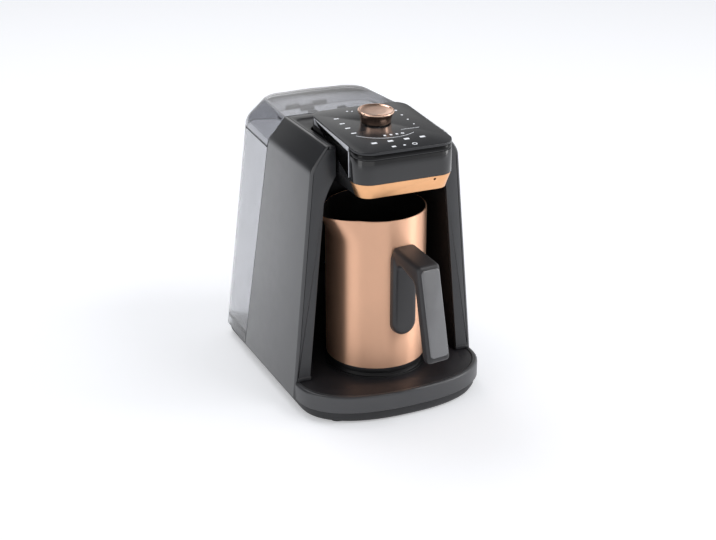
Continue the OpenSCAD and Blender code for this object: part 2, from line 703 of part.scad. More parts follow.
trim_t = 2;
function trim_ring(z, inset) = head_ring(0.3 + inset + trim_taper*(fascia_z - z)/(fascia_z - trim_z));
module trim_loft(inset, z0 = trim_z, z1 = fascia_z) {
  loft([z0, z1], [trim_ring(z0, inset), trim_ring(z1, inset)]);
}
module head_trim() {
  color("#c98c5a") difference() {
    intersection() {
      difference() {
        trim_loft(0);
        trim_loft(trim_t, trim_z - 1, fascia_z + 1);
      }
      front_of_wrap();
    }
    // pin hole near the right-hand corner
    at(24, head_front_y - 5, fascia_z - 2.6) rotate([-90, 0, 0]) cylinder(h = 20, r = 1.1);
  }
}

under_floor_t = 2;
nozzle_at = [8, -18];
foam_at = [-12, -42];
module head_underside() {
  color("#0d0d0e") difference() {
    union() {
      trim_loft(trim_t + 0.2);
      intersection() {
        trim_loft(0);
        behind_wrap();
      }
      block([-head_w/2 + 1, head_back_y - 12, fascia_z - 2.4], [head_w/2 - 1, bay_back_y - 0.4, fascia_z]);
    }
    intersection() {
      trim_loft(trim_t + 2.2, trim_z + under_floor_t, fascia_z + 1);
      block([-200, -300, 0], [200, head_back_y - 13, 400]);
    }
    at(nozzle_at[0], nozzle_at[1], 0) cylinder(h = 400, r = 4.2);
    at(foam_at[0], foam_at[1], 0) cylinder(h = 400, r = 5.2);
  }
}

module head_strips() {
  y0 = up_slope(-4);
  y1 = up_slope(wrap_y + 1);
  color("#c9cbd0") both_sides() at(head_w/2 + 0.05, 0, 0) {
    on_panel() rotate([90, 0, 90]) linear_extrude(strip_t)
      polygon([[y0, -0.6], [y0 - 1, -5.5], [y1, -4.2], [y1, -0.2]]);
    block([0, wrap_y, fascia_z + 3], [strip_t, wrap_y + 1.4, panel_front_z - 2.5]);
  }
}

module touch_panel() {
  color("#17171a") on_panel() difference() {
    at(0, 0, -panel_t) linear_extrude(panel_t)
      polygon(rounded(head_w, 0, panel_len, head_front_r, head_back_r));
    at(0, up_slope(knob_y), -20) cylinder(h = 40, r = bushing_r + 0.5);
  }
}

mark_h = 0.15;
module bar_mark(x, y, w, h) { at(x - w/2, up_slope(y) - h/2, 0) cube([w, h, mark_h]); }
module dot_mark(x, y, r) { at(x, up_slope(y), 0) cylinder(h = mark_h, r = r, $fn = 20); }
module ring_mark(x, y, r) {
  at(x, up_slope(y), 0) difference() {
    cylinder(h = mark_h, r = r, $fn = 24);
    at(0, 0, -1) cylinder(h = 3, r = r - 0.7, $fn = 24);
  }
}
// A plain cup sign: a bowl with a ring beside it
module cup_mark(x, y, s) {
  bar_mark(x - 0.4*s, y, 2.6*s, 1.8*s);
  ring_mark(x + 1.9*s, y + 0.1, 0.9*s);
}
column_left = [[-29, -13.3], [-29, -25.6], [-29, -36.8], [-29, -49]];
column_right = [[28, -11.8], [28, -23.5], [28, -34.8], [28, -46.4]];
key_row = [-22.2, -7.7, 7, 21.4];
module panel_marks() {
  color("#e8e8ea") on_panel() {
    for (p = column_left) cup_mark(p[0], p[1], 1);
    for (i = [0:3]) dot_mark(column_right[i][0], column_right[i][1], 1.2 - 0.15*i);
    for (x = key_row) bar_mark(x, -75.2, 4.6, 2.9);
    bar_mark(-10.2, -87.2, 3.6, 2.4);
    dot_mark(-0.7, -87.2, 1.1);
    ring_mark(8.5, -87.2, 2.2);
    for (x = [-6.7, -1.1, 4.3]) bar_mark(x, -62.5, 2, 2.4);
    ring_mark(8.1 + 1.4, -62.5, 1.4);
    dot_mark(-12.5, 0.4, 1);
    dot_mark(-8.5, -1.1, 0.8);
    bar_mark(20.3, -54.7, 16.6, 0.35);
    // broken ring round the knob's front
    at(0, up_slope(knob_y), 0) difference() {
      ring_at(0, mark_h, 38.6, 38.25);
      at(0, 0, -1) rotate([0, 0, -60]) cube([80, 80, 3]);
      at(0, 0, -1) rotate([0, 0, 30]) cube([80, 80, 3]);
      at(0, 0, -1) rotate([0, 0, 90]) cube([80, 80, 3]);
      at(0, 0, -1) rotate([0, 0, 130]) cube([80, 80, 3]);
    }
  }
}

guide_top = -panel_t - 0.2;
board_top = -9.5;
board_t = 1.6;
bushing_r = 3.5 + shaft_r - 3;
encoder_half = 6.5;
module head_plate(inset, low, high) {
  on_panel() at(0, 0, low) linear_extrude(high - low)
    polygon(rounded(head_w - 2*inset, inset, panel_len - inset,
      head_front_r - inset + 2, head_back_r - inset + 2));
}
module light_guide() {
  color("#e9e9e4") difference() {
    head_plate(fascia_t + head_wall + 0.6, board_top + 0.1, guide_top);
    on_panel() at(0, up_slope(knob_y), board_top - 1) cylinder(h = 20, r = encoder_half*1.5);
    on_panel() for (x = key_row) block([x - 3, up_slope(-75.2) - 3, board_top - 1],
      [x + 3, up_slope(-75.2) + 3, guide_top - 1.5]);
  }
}
module display_board() {
  color("#1f5a3a") difference() {
    head_plate(fascia_t + head_wall + 1, board_top - board_t, board_top);
    block([-200, head_back_y - 12, 0], [200, 200, 400]);
  }
}
module encoder() {
  color("#9b9da1") on_panel() at(0, up_slope(knob_y), 0) difference() {
    union() {
      block([-encoder_half, -encoder_half, board_top + 0.05], [encoder_half, encoder_half, guide_top - 1]);
      at(0, 0, guide_top - 2) cylinder(h = panel_t + 3.5, r = bushing_r);
    }
    at(0, 0, board_top + 1.2) cylinder(h = 30, r = shaft_r + run_gap);
  }
}

// ---------------------------------------------------------------- knob

knob_gap = 0.7;
core_r = knob_r - 3.5;
module at_knob() { on_panel() at(0, up_slope(knob_y), 0) children(); }
module knob_cap() {
  color("#c08468") at_knob() rotate_extrude($fn = 96) polygon([
    [core_r + 0.05, knob_gap], [knob_r - 2.1, knob_gap], [knob_r - 2.5, 3], [knob_r - 2.2, 5.5],
    [knob_r - 0.9, knob_h - 2.7], [knob_r, knob_h - 1.6], [knob_r, knob_h - 0.5],
    [knob_r - 0.5, knob_h], [knob_r - 1.9, knob_h], [knob_r - 2.4, knob_h - 0.5],
    [0, knob_h - 0.5], [0, knob_h - 1.7], [core_r + 0.05, knob_h - 1.7]]);
}
module knob_core() {
  color("#2a2a2c") at_knob() difference() {
    at(0, 0, knob_gap + 0.3) cylinder(h = knob_h - 2.1 - knob_gap, r = core_r);
    at(0, 0, -1) cylinder(h = knob_h - 2, r = shaft_r + 0.02);
    ring_at(-1, 3, bushing_r + 1, shaft_r);
  }
}
module knob_shaft() {
  color("#b9bbbf") at_knob() at(0, 0, board_top + 1.5)
    cylinder(h = knob_h - 3.2 - board_top - 1.5, r = shaft_r);
}

// ---------------------------------------------------------------- water path

post_r = 9;
post_top_z = plateau_z + 5;
hose_r = 3;
spigot_r = 1.8;
spigot_z = 12;
pump_y = 44;
pump_z = 24;
pump_r = 14;
pump_x0 = -42;
pump_x1 = 18;
flow_x = 52;
flow_r = 11;
flow_z = 5;
flow_h = 23;
inlet_z = 9.5;

module tank_coupling() {
  color("#2a2b2e") difference() {
    union() {
      at(0, outlet_y, spigot_z - 4) cylinder(h = post_top_z - spigot_z + 4, r = post_r);
      at(0, outlet_y, plateau_z - 2 - 1.6) cylinder(h = 1.5, r = post_r + 3);
      at(post_r - 1, outlet_y, spigot_z) rotate([0, 90, 0]) cylinder(h = 9, r = spigot_r);
    }
    // groove for the sealing ring, and the water way
    at(0, outlet_y, seal_z - 1.1) difference() {
      cylinder(h = 2.2, r = post_r + 1);
      cylinder(h = 2.2, r = post_r - 1.5);
    }
    at(0, outlet_y, spigot_z) difference() {
      cylinder(h = 40, r = 6);
      cylinder(h = post_top_z - spigot_z, r = 1.4);
      for (a = [0, 90]) rotate([0, 0, a]) block([-7, -0.8, 0], [7, 0.8, post_top_z - spigot_z - 3]);
    }
    at(0, outlet_y, spigot_z) rotate([0, 90, 0]) cylinder(h = 40, r = 1);
  }
}
seal_z = plateau_z + 3.2;
module coupling_seal() {
  color("#5b2d23") at(0, outlet_y, seal_z)
    rotate_extrude() translate([post_r - 0.75, 0]) circle(r = 0.72, $fn = 20);
}

module pump() {
  color("#c9c6bd") {
    at(pump_x0, pump_y, pump_z) rotate([0, 90, 0]) cylinder(h = pump_x1 - pump_x0, r = pump_r);
    at(pump_x0 - 8, pump_y, pump_z) rotate([0, 90, 0]) cylinder(h = 10, r = spigot_r);
    at(pump_x1 - 2, pump_y, pump_z) rotate([0, 90, 0]) cylinder(h = 10, r = spigot_r);
    block([pump_x0 + 18, pump_y - 9, pump_z + pump_r - 3], [pump_x0 + 42, pump_y + 9, pump_z + pump_r + 4]);
  }
}
mount_x = [pump_x0 + 8, pump_x1 - 8];
mount_t = 3;
module pump_mounts() {
  color("#1a1a1a") for (x = mount_x) at(x - 3, pump_y, pump_z) rotate([0, 90, 0])
    ring_at(0, 6, pump_r + mount_t, pump_r + 0.05);
}
module flow_meter() {
  color("#e2e2dc") {
    at(flow_x, pump_y, flow_z + 0.1) cylinder(h = flow_h, r = flow_r);
    at(flow_x, pump_y + flow_r - 2, inlet_z) rotate([-90, 0, 0]) cylinder(h = 9, r = spigot_r);
    at(flow_x - flow_r + 2, pump_y, pump_z) rotate([0, -90, 0]) cylinder(h = 9, r = spigot_r);
  }
}
// Height at which the hose runs under the tank's front wall
under_z = pan_floor_z + hose_r + 0.4;
module supply_hoses() {
  // ends are pushed over the spigots, which fill their bores
  color("#d9d9d4") {
    difference() {
      tube(smooth([[post_r + 1.5, outlet_y, spigot_z], [20, outlet_y, spigot_z],
        [29, outlet_y - 0.5, spigot_z - 2], [39, outlet_y - 3, under_z],
        [flow_x - 4, outlet_y - 8, under_z], [flow_x, outlet_y - 17, under_z],
        [flow_x, pump_y + flow_r + 13, under_z + 0.2], [flow_x, pump_y + flow_r + 7, inlet_z],
        [flow_x, pump_y + flow_r + 1, inlet_z]], 3), hose_r);
      at(0, outlet_y, spigot_z) rotate([0, 90, 0]) cylinder(h = post_r + 8.2, r = spigot_r + 0.05);
      at(flow_x, pump_y, inlet_z) rotate([-90, 0, 0]) cylinder(h = flow_r + 7.2, r = spigot_r + 0.05);
    }
    difference() {
      at(pump_x1 + 0.5, pump_y, pump_z) rotate([0, 90, 0])
        cylinder(h = flow_x - flow_r - pump_x1 - 1, r = hose_r);
      at(pump_x1, pump_y, pump_z) rotate([0, 90, 0]) cylinder(h = 40, r = spigot_r + 0.05);
    }
  }
}
nozzle_top_z = fascia_z - 1;
riser_route = [
  [pump_x0 - 0.5, pump_y, pump_z], [pump_x0 - 9, pump_y, pump_z],
  [pump_x0 - 17, pump_y - 0.5, pump_z + 4], [pump_x0 - 21, pump_y - 2, pump_z + 16],
  [pump_x0 - 20, pump_y - 6, 70], [pump_x0 - 17, bay_back_y + 14, 110],
  [pump_x0 - 12, bay_back_y + 11, 150], [pump_x0 - 4, bay_back_y + 8.5, 185],
  [-33, bay_back_y + 7, neck_z - 16], [-20, bay_back_y + 6.5, neck_z - 5],
  [-8, bay_back_y + 5.5, neck_z - 0.5], [-3.5, bay_back_y - 1, neck_z],
  [-3, head_back_y - 2, neck_z], [-2, head_back_y - 14, neck_z - 2],
  [4, head_back_y - 23, neck_z - 5], [nozzle_at[0], nozzle_at[1], neck_z - 11],
  [nozzle_at[0], nozzle_at[1], nozzle_top_z - 5]];
module riser_hose() {
  color("#d9d9d4") difference() {
    tube(smooth(riser_route, 3), hose_r);
    at(pump_x0 - 8.2, pump_y, pump_z) rotate([0, 90, 0]) cylinder(h = 12, r = spigot_r + 0.05);
    at(nozzle_at[0], nozzle_at[1], 0) cylinder(h = nozzle_top_z + 0.1, r = spigot_r + 0.05);
  }
}
module water_nozzle() {
  color("#d0d0cc") at(nozzle_at[0], nozzle_at[1], 0) difference() {
    union() {
      at(0, 0, trim_z - 3) cylinder(h = 7.5, r = 4);
      at(0, 0, trim_z + under_floor_t + 0.05) cylinder(h = 1.5, r = 6.5);
      at(0, 0, trim_z) cylinder(h = nozzle_top_z - trim_z, r = spigot_r);
    }
    at(0, 0, 0) cylinder(h = 400, r = 1);
  }
}
module foam_sensor() {
  color("#1c1c30") at(foam_at[0], foam_at[1], 0) {
    at(0, 0, trim_z - 0.6) cylinder(h = 8, r = 5);
    at(0, 0, trim_z + under_floor_t + 0.05) cylinder(h = 2, r = 7);
  }
}

// ---------------------------------------------------------------- electrics

board_y = bay_back_y + 8;
main_x0 = -30;
main_x1 = 58;
main_z0 = 95;
main_z1 = 165;
board_posts = [[main_x0 + 5, main_z0 + 5], [main_x1 - 5, main_z0 + 5],
               [main_x0 + 5, main_z1 - 5], [main_x1 - 5, main_z1 - 5]];
module main_board() {
  color("#1f5a3a") difference() {
    block([main_x0, board_y, main_z0], [main_x1, board_y + board_t, main_z1]);
    for (p = board_posts) at(p[0], board_y - 5, p[1]) rotate([-90, 0, 0])
      cylinder(h = 20, r = screw_r + fit_gap);
  }
}
module power_parts() {
  y = board_y + board_t;
  color("#2d3138") {
    block([main_x0 + 14, y, main_z0 + 8], [main_x0 + 42, y + 15, main_z0 + 30]);
    block([main_x0 + 50, y, main_z0 + 10], [main_x0 + 69, y + 14, main_z0 + 25]);
    block([main_x0 + 24, y, main_z1 - 12], [main_x0 + 60, y + 8, main_z1 - 3]);
    for (x = [main_x0 + 20, main_x0 + 36]) at(x, y, main_z0 + 42) rotate([-90, 0, 0]) cylinder(h = 12, r = 5);
  }
}
cable_w = 12;
cable_t = 0.8;
module ribbon_cable() {
  x = main_x0 + 60;
  y = board_y + board_t;
  color("#b8b8bc") {
    // up behind the bay's wall, over to the middle and through the neck to the display board
    block([x, y, main_z1 - 20], [x + cable_w, y + cable_t, neck_z + 1]);
    block([-4, y, neck_z - 3], [x + cable_w, y + cable_t, neck_z + 1]);
    block([2.4, head_back_y - 24, neck_z + 0.2], [6, y + cable_t, neck_z + 1]);
    block([2.4, head_back_y - 24, neck_z + 0.2],
          [6, head_back_y - 24 + cable_t, board_z(head_back_y - 24) - 0.4]);
  }
}
// Height of the display board's underside at a place along the head
function board_z(y) = panel_front_z + up_slope(y)*sin(tilt) + (board_top - board_t)*cos(tilt);

module heater_wires() {
  color("#c8b27a") for (s = [-1, 1]) let (
    x = element_r*cos(terminal_angle)*s, y = pot_y + element_r*sin(terminal_angle),
    low = element_z - element_tube_r - terminal_drop)
    tube(smooth([[x, y, low], [x, y, low - 0.7], [x, y, low - 1.4],
      [x + s*3, y + 6, low - 3.5], [x + s*6, y + 14, low - 4], [x + s*8, bay_back_y - 3, low - 4],
      [x + s*8, bay_back_y + liner_t + 1.2, low + 1],
      [x + s*6, bay_back_y + liner_t + 2, 50], [x + s*2, bay_back_y + liner_t + 3, 75],
      [x + 1, board_y + board_t/2, main_z0 - 0.2]], 3), 1, 6);
}

gland_wall_y = back_foot_y - pan_inset + back_crown/2;
gland_w = 13;
gland_h = 2*(gland_r + 0.7);
gland_z = foot_h + 0.5 + gland_h/2;
gland_collar = 2;
// The gland's outline, grown all round
module gland_body(grow) {
  y1 = gland_wall_y + 1;
  block([gland_x - gland_w/2 - grow, y1 - gland_len, gland_z - gland_h/2 - grow],
        [gland_x + gland_w/2 + grow, y1 + (grow > 0 ? 20 : 0), gland_z + gland_h/2 + grow]);
  block([gland_x - gland_w/2 - gland_collar - grow, y1 - gland_len - grow, gland_z - gland_h/2 - grow],
        [gland_x + gland_w/2 + gland_collar + grow, y1 - gland_len + 2 + grow, gland_z + gland_h/2 + grow]);
}
module cord_gland() {
  color("#141414") difference() {
    gland_body(0);
    at(gland_x, gland_wall_y - 30, gland_z) rotate([-90, 0, 0]) cylinder(h = 60, r = gland_r);
  }
}

// ---------------------------------------------------------------- tank and lid

tank_foot_z = groove_z + move_gap;
tank_floor_z = plateau_z + 0.8;
tank_floor_t = 2.5;
boss_top_z = tank_floor_z + 12;
boss_r = post_r + 3.2;
socket_r = post_r + 0.35;
port_r = 5;
tank_top_z = lid_seam_z - 0.2;
lid_foot_z = lid_seam_z + 0.2;
hinge_r = 3;
hinge_y = back_y(lid_seam_z) + back_crown + hinge_r + 0.5;
hinge_web = hinge_r + 2.2;
hinge_web_h = 7;
hinge_w = 44;
hinge_mid_w = 15;
function tank_ring(z, inset) = block_ring(z, inset, seam_y(z) + inset);

module tank_body() {
  color("#c9cad0", 0.45) difference() {
    union() {
      difference() {
        loft([tank_foot_z, tank_top_z], [tank_ring(tank_foot_z, 0), tank_ring(tank_top_z, 0)]);
        loft([tank_floor_z + tank_floor_t, tank_top_z + 1],
          [tank_ring(tank_floor_z + tank_floor_t, tank_wall), tank_ring(tank_top_z + 1, tank_wall)]);
        loft([tank_foot_z - 1, tank_floor_z],
          [tank_ring(tank_foot_z - 1, tank_wall), tank_ring(tank_floor_z, tank_wall)]);
      }
      at(0, outlet_y, tank_floor_z) cylinder(h = boss_top_z - tank_floor_z, r = boss_r);
      // lug for the lid's hinge
      block([-hinge_mid_w/2, hinge_y - hinge_web, lid_seam_z - hinge_web_h],
            [hinge_mid_w/2, hinge_y + 1.5, lid_seam_z - 0.8]);
      at(-hinge_mid_w/2, hinge_y, lid_seam_z) rotate([0, 90, 0]) cylinder(h = hinge_mid_w, r = hinge_r);
    }
    at(0, outlet_y, 0) cylinder(h = post_top_z + 3, r = socket_r);
    at(0, outlet_y, 0) cylinder(h = 100, r = port_r);
    at(-hinge_w, hinge_y, lid_seam_z) rotate([0, 90, 0]) cylinder(h = 2*hinge_w, r = hinge_pin_r + 0.02);
  }
}

module lid_hinge_pin() {
  color("#c2c4c7") at(-hinge_w/2 + 1, hinge_y, lid_seam_z) rotate([0, 90, 0])
    cylinder(h = hinge_w - 2, r = hinge_pin_r);
}

lid_wall = 2.2;
module tank_lid() {
  color("#8f9097", 0.6) difference() {
    union() {
      difference() {
        loft([lid_foot_z, shoulder_z, deck_z],
          [tank_ring(lid_foot_z, 0), tank_ring(shoulder_z, 0), tank_ring(deck_z, 0)]);
        loft([lid_foot_z - 1, shoulder_z, deck_z - lid_wall],
          [tank_ring(lid_foot_z - 1, lid_wall), tank_ring(shoulder_z, lid_wall),
           tank_ring(deck_z - lid_wall, lid_wall)]);
      }
      for (s = [-1, 1]) lid_knuckle(s);
    }
    at(-hinge_w, hinge_y, lid_seam_z) rotate([0, 90, 0]) cylinder(h = 2*hinge_w, r = hinge_pin_r + run_gap);
    // room for the tank's own knuckle
    at(-hinge_mid_w/2 - move_gap, hinge_y, lid_seam_z) rotate([0, 90, 0])
      cylinder(h = hinge_mid_w + 2*move_gap, r = hinge_r + move_gap);
  }
}
module lid_knuckle(s) {
  x0 = s > 0 ? hinge_mid_w/2 + move_gap : -hinge_w/2;
  x1 = s > 0 ? hinge_w/2 : -hinge_mid_w/2 - move_gap;
  at(x0, hinge_y, lid_seam_z) rotate([0, 90, 0]) cylinder(h = x1 - x0, r = hinge_r);
  block([x0, hinge_y - hinge_web, lid_seam_z + 0.8],
        [x1, hinge_y + 1.5, lid_seam_z + hinge_web_h]);
}

carry_w = 84;
module tank_handle() {
  z0 = tank_top_z - 14;
  y0 = seam_y(z0) + tank_wall + 0.1;
  y1 = y0 + 21;
  color("#a3a4aa", 0.8) {
    for (s = [-1, 1]) {
      block([s*carry_w/2 - 2.5, y0, z0], [s*carry_w/2 + 2.5, y1, z0 + 8]);
      block([s*carry_w/2 - 2.5, y1 - 9, z0], [s*carry_w/2 + 2.5, y1, tank_top_z + 14]);
      block([s*15 - 4, y1 - 1, tank_top_z + 2], [s*15 + 4, y1 + 6, tank_top_z + 15]);
    }
    block([-carry_w/2, y1 - 5, tank_top_z + 4], [carry_w/2, y1, tank_top_z + 14]);
  }
}

cage_top_z = boss_top_z + 14;
guide_z = boss_top_z + 7.5;
module tank_filter() {
  color("#e6e6e8") at(0, outlet_y, 0) difference() {
    union() {
      difference() {
        at(0, 0, boss_top_z - 5) cylinder(h = cage_top_z - boss_top_z + 5, r = boss_r + 2);
        at(0, 0, boss_top_z - 6) cylinder(h = 6.05, r = boss_r + 0.1);
        at(0, 0, boss_top_z) cylinder(h = cage_top_z - boss_top_z - 1.5, r = boss_r);
      }
      at(0, 0, guide_z) cylinder(h = cage_top_z - guide_z - 0.5, r = 4);
    }
    at(0, 0, 0) cylinder(h = cage_top_z - 1.2, r = stem_r + 0.06);
    for (a = [0:30:150]) rotate([0, 0, a]) block([-30, -1, boss_top_z + 2], [30, 1, boss_top_z + 6.5]);
  }
}
stem_r = 2;
seal_t = 0.8;
disc_z = boss_top_z + seal_t + 0.1;
module tank_valve() {
  color("#d5d5d8") at(0, outlet_y, 0) {
    at(0, 0, post_top_z + move_gap) cylinder(h = guide_z + 1.5 - post_top_z - move_gap, r = stem_r);
    at(0, 0, disc_z) cylinder(h = 1.5, r = 7.5);
  }
}
module valve_seal() {
  color("#7a3226") at(0, outlet_y, 0) ring_at(boss_top_z + 0.1, seal_t - 0.02, 7.4, port_r + 0.3);
}
module valve_spring() {
  color("#a5a7aa") at(0, outlet_y, 0)
    tube(coil(5.4, disc_z + 2.1, cage_top_z - 2.2, 4), 0.45, 6);
}

// ---------------------------------------------------------------- pot

pot_z = plate_top_z + 0.2;
shell_z = pot_z + pot_base_h;
pot_top_z = shell_z + pot_h;
disc_r = pot_r - 6;
ring_r = pot_r - 1.6;
pot_floor_z = shell_z + 0.8;
module at_pot() { translate([0, pot_y, 0]) rotate([0, 0, pot_turn]) children(); }
lip_z = pot_top_z - 20;
// The pouring lip, to the -X side of the pot's own frame
module lip_wedge(grow, top) {
  hull() {
    at(-pot_r + 6, 0, lip_z) cylinder(h = 0.5, r = 2, $fn = 16);
    at(-pot_r - spout_reach + 4, 0, top - 1) cylinder(h = 1, r = 2.4 + grow, $fn = 24);
    at(-pot_r*0.78, pot_r*0.62 - 2, top - 1) cylinder(h = 1, r = 1 + grow, $fn = 16);
    at(-pot_r*0.78, -pot_r*0.62 + 2, top - 1) cylinder(h = 1, r = 1 + grow, $fn = 16);
  }
}
module pot_body() {
  color("#d3a084") at_pot() difference() {
    union() {
      at(0, 0, shell_z) cylinder(h = pot_h, r = pot_r, $fn = 96);
      at(0, 0, pot_z) cylinder(h = pot_base_h + 0.1, r = disc_r);
      lip_wedge(pot_wall, pot_top_z);
    }
    at(0, 0, pot_floor_z) cylinder(h = pot_h + 20, r = pot_r - pot_wall, $fn = 96);
    lip_wedge(0, pot_top_z + 0.5);
    at(0, 0, pot_z - 1) cylinder(h = 1 + sensor_rise - 0.2 + move_gap, r = sensor_r + 5.5);
    for (z = handle_screw_z) at(0, 0, z) rotate([90, 0, 0]) cylinder(h = pot_r + 4, r = screw_r + fit_gap);
  }
}
module pot_base() {
  color("#151516") at_pot() ring_at(pot_z, pot_base_h - 0.1, ring_r, disc_r + 0.1);
}

pad_top_z = pot_top_z - 24;
pad_z = pad_top_z - pad_h;
pad_t = 5;
bar_top_z = pot_top_z - 23;
grip_top_z = bar_top_z - bar_drop;
grip_foot_z = grip_top_z - grip_h;
grip_lean = (grip_foot_r - grip_top_r)/grip_h;
function grip_out(z) = grip_top_r + (grip_top_z - z)*grip_lean;
bar_sink = 3;
bar_corner_r = 6;
bar_slope = atan(bar_drop/(grip_top_r - bar_corner_r - pot_r + bar_sink));
insert_t = 2;
insert_w = handle_w - 4;
insert_top_z = grip_top_z - bar_corner_r + 1;
insert_foot_z = grip_foot_z + 6;
// Side view of the bar and the grip: distance from the middle line, height
module handle_side() {
  g = grip_depth;
  foot_r = 5;
  knee_r = 8;
  crook_r = 7;
  foot_z = grip_foot_z + foot_r;
  knee_z = grip_top_z - bar_h - knee_r;
  crook = [pot_r + pad_t + crook_r, bar_top_z - bar_h - crook_r];
  polygon(concat(
    [[pot_r - bar_sink, bar_top_z]],
    arc([grip_top_r - bar_corner_r, grip_top_z - bar_corner_r], bar_corner_r, 90, 15, 4),
    [[grip_out(foot_z), foot_z]],
    arc([grip_out(foot_z) - foot_r, foot_z], foot_r, -10, -90, 4),
    arc([grip_out(foot_z) - g + foot_r, foot_z], foot_r, -90, -170, 4),
    [[grip_out(knee_z) - g, knee_z]],
    arc([grip_out(knee_z) - g - knee_r, knee_z], knee_r, 0, 90, 4),
    arc(crook, crook_r, 90, 180, 4),
    [[pot_r - bar_sink, crook.y]]));
}
module across(w) { rotate([90, 0, -90]) translate([0, 0, -w/2]) linear_extrude(w) children(); }
module pot_handle() {
  color("#2b2b2d") at_pot() difference() {
    union() {
      intersection() {
        across(handle_w) handle_side();
        // rounded shoulders, which follow the bar's slope
        translate([0, bar_sink - pot_r, bar_top_z]) rotate([90 + bar_slope, 0, 0]) linear_extrude(200)
          polygon(concat([[handle_w/2, -200]], arc([handle_w/2 - 5, -5], 5, 0, 90, 5),
            arc([5 - handle_w/2, -5], 5, 90, 180, 5), [[-handle_w/2, -200]]));
        // rounded foot
        rotate([90, 0, 0]) linear_extrude(200) polygon(concat(
          [[handle_w/2, pot_top_z], [-handle_w/2, pot_top_z]],
          arc([4 - handle_w/2, grip_foot_z + 4], 4, 180, 270, 4),
          arc([handle_w/2 - 4, grip_foot_z + 4], 4, 270, 360, 4)));
      }
      // pad with round ends
      rotate([90, 0, 0]) linear_extrude(pot_r + pad_t) union() {
        translate([0, pad_z + pad_w/2]) circle(d = pad_w);
        translate([0, pad_top_z - pad_w/2]) circle(d = pad_w);
        translate([-pad_w/2, pad_z + pad_w/2]) square([pad_w, pad_h - pad_w]);
      }
    }
    at(0, 0, 0) cylinder(h = 400, r = pot_r + 0.05, $fn = 96);
    across(insert_w + 0.2) insert_side(0.1);
    for (z = handle_screw_z) at(0, 0, z) rotate([90, 0, 0]) cylinder(h = pot_r + 4, r = screw_r + 0.02);
  }
}
module insert_side(grow) {
  proud = 0.4;
  polygon([
    [grip_out(insert_top_z) - insert_t - grow, insert_top_z + grow],
    [grip_out(insert_top_z) + proud, insert_top_z + grow],
    [grip_out(insert_foot_z) + proud, insert_foot_z - grow],
    [grip_out(insert_foot_z) - insert_t - grow, insert_foot_z - grow]]);
}
module handle_insert() {
  color("#56575a") at_pot() across(insert_w) insert_side(0);
}
handle_screw_z = [pad_z + 14, pad_top_z - 12];
module handle_screws() {
  color("#b9bbbf") at_pot() for (z = handle_screw_z)
    at(0, -pot_r + pot_wall, z) rotate([90, 0, 0]) {
      at(0, 0, 0.1) cylinder(h = 4.5, r = screw_r);
      at(0, 0, -1.6) cylinder(h = 1.5, r = screw_head_r);
    }
}

base_pan();
rubber_feet();
housing_screws();
front_tray();
tray_mat();
heating_plate();
plate_gasket();
heating_element();
plate_bracket();
plate_nuts();
sensor_holder();
thermal_fuse();
side_panel_left();
side_panel_right();
front_frame();
bay_liner();
top_deck();
back_shell();
head_shell();
head_fascia();
head_trim();
head_underside();
head_strips();
touch_panel();
panel_marks();
light_guide();
display_board();
encoder();
water_nozzle();
foam_sensor();
pump();
pump_mounts();
flow_meter();
supply_hoses();
riser_hose();
tank_coupling();
coupling_seal();
main_board();
power_parts();
ribbon_cable();
heater_wires();
cord_gland();
tank_body();
tank_handle();
tank_filter();
lid_hinge_pin();
tank_lid();
tank_valve();
valve_seal();
valve_spring();
pot_body();
pot_base();
pot_handle();
handle_insert();
handle_screws();
knob_cap();
knob_core();
knob_shaft();
pot_sensor();
sensor_spring();
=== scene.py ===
import json
import math

import bmesh
import bpy
from mathutils import Matrix, Vector

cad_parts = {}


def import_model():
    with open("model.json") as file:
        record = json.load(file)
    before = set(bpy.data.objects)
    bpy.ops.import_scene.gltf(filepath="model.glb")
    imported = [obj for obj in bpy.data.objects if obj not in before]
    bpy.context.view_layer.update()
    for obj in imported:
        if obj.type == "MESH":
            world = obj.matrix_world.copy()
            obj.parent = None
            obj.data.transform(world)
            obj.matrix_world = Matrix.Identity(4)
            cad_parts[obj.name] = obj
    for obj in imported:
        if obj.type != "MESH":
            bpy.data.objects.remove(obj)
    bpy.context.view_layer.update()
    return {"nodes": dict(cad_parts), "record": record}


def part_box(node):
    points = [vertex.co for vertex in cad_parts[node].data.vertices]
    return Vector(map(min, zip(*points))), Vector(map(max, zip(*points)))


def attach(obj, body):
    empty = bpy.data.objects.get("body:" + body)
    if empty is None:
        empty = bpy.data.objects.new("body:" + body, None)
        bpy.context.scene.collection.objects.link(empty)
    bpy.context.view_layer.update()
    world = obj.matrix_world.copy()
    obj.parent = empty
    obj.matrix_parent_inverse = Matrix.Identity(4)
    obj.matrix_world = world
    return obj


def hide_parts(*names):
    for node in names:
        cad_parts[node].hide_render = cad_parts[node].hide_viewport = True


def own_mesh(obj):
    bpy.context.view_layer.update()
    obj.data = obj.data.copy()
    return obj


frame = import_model()
NODES = frame["nodes"]
MM = 0.001

# ---------------------------------------------------------------- sizes in millimetres


def low(node):
    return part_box(node)[0] / MM


def high(node):
    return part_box(node)[1] / MM


# the body, from the groove over the base pan up to the shoulder and the deck
FOOT_W = 2 * high("side_panel_right").x
SHOULDER_W = 137
DECK_W = 109
GROOVE_Z = low("side_panel_right").z
SHOULDER_Z = 216.5
DECK_Z = high("side_panel_right").z
WING_Y = low("side_panel_right").y
BEND = 5  # half the height of the shoulder's soft bend
SKIN = 2.5
SEAM = 0.4
COVER_FRONT_R = 2.2
COVER_BACK_R = 0.5

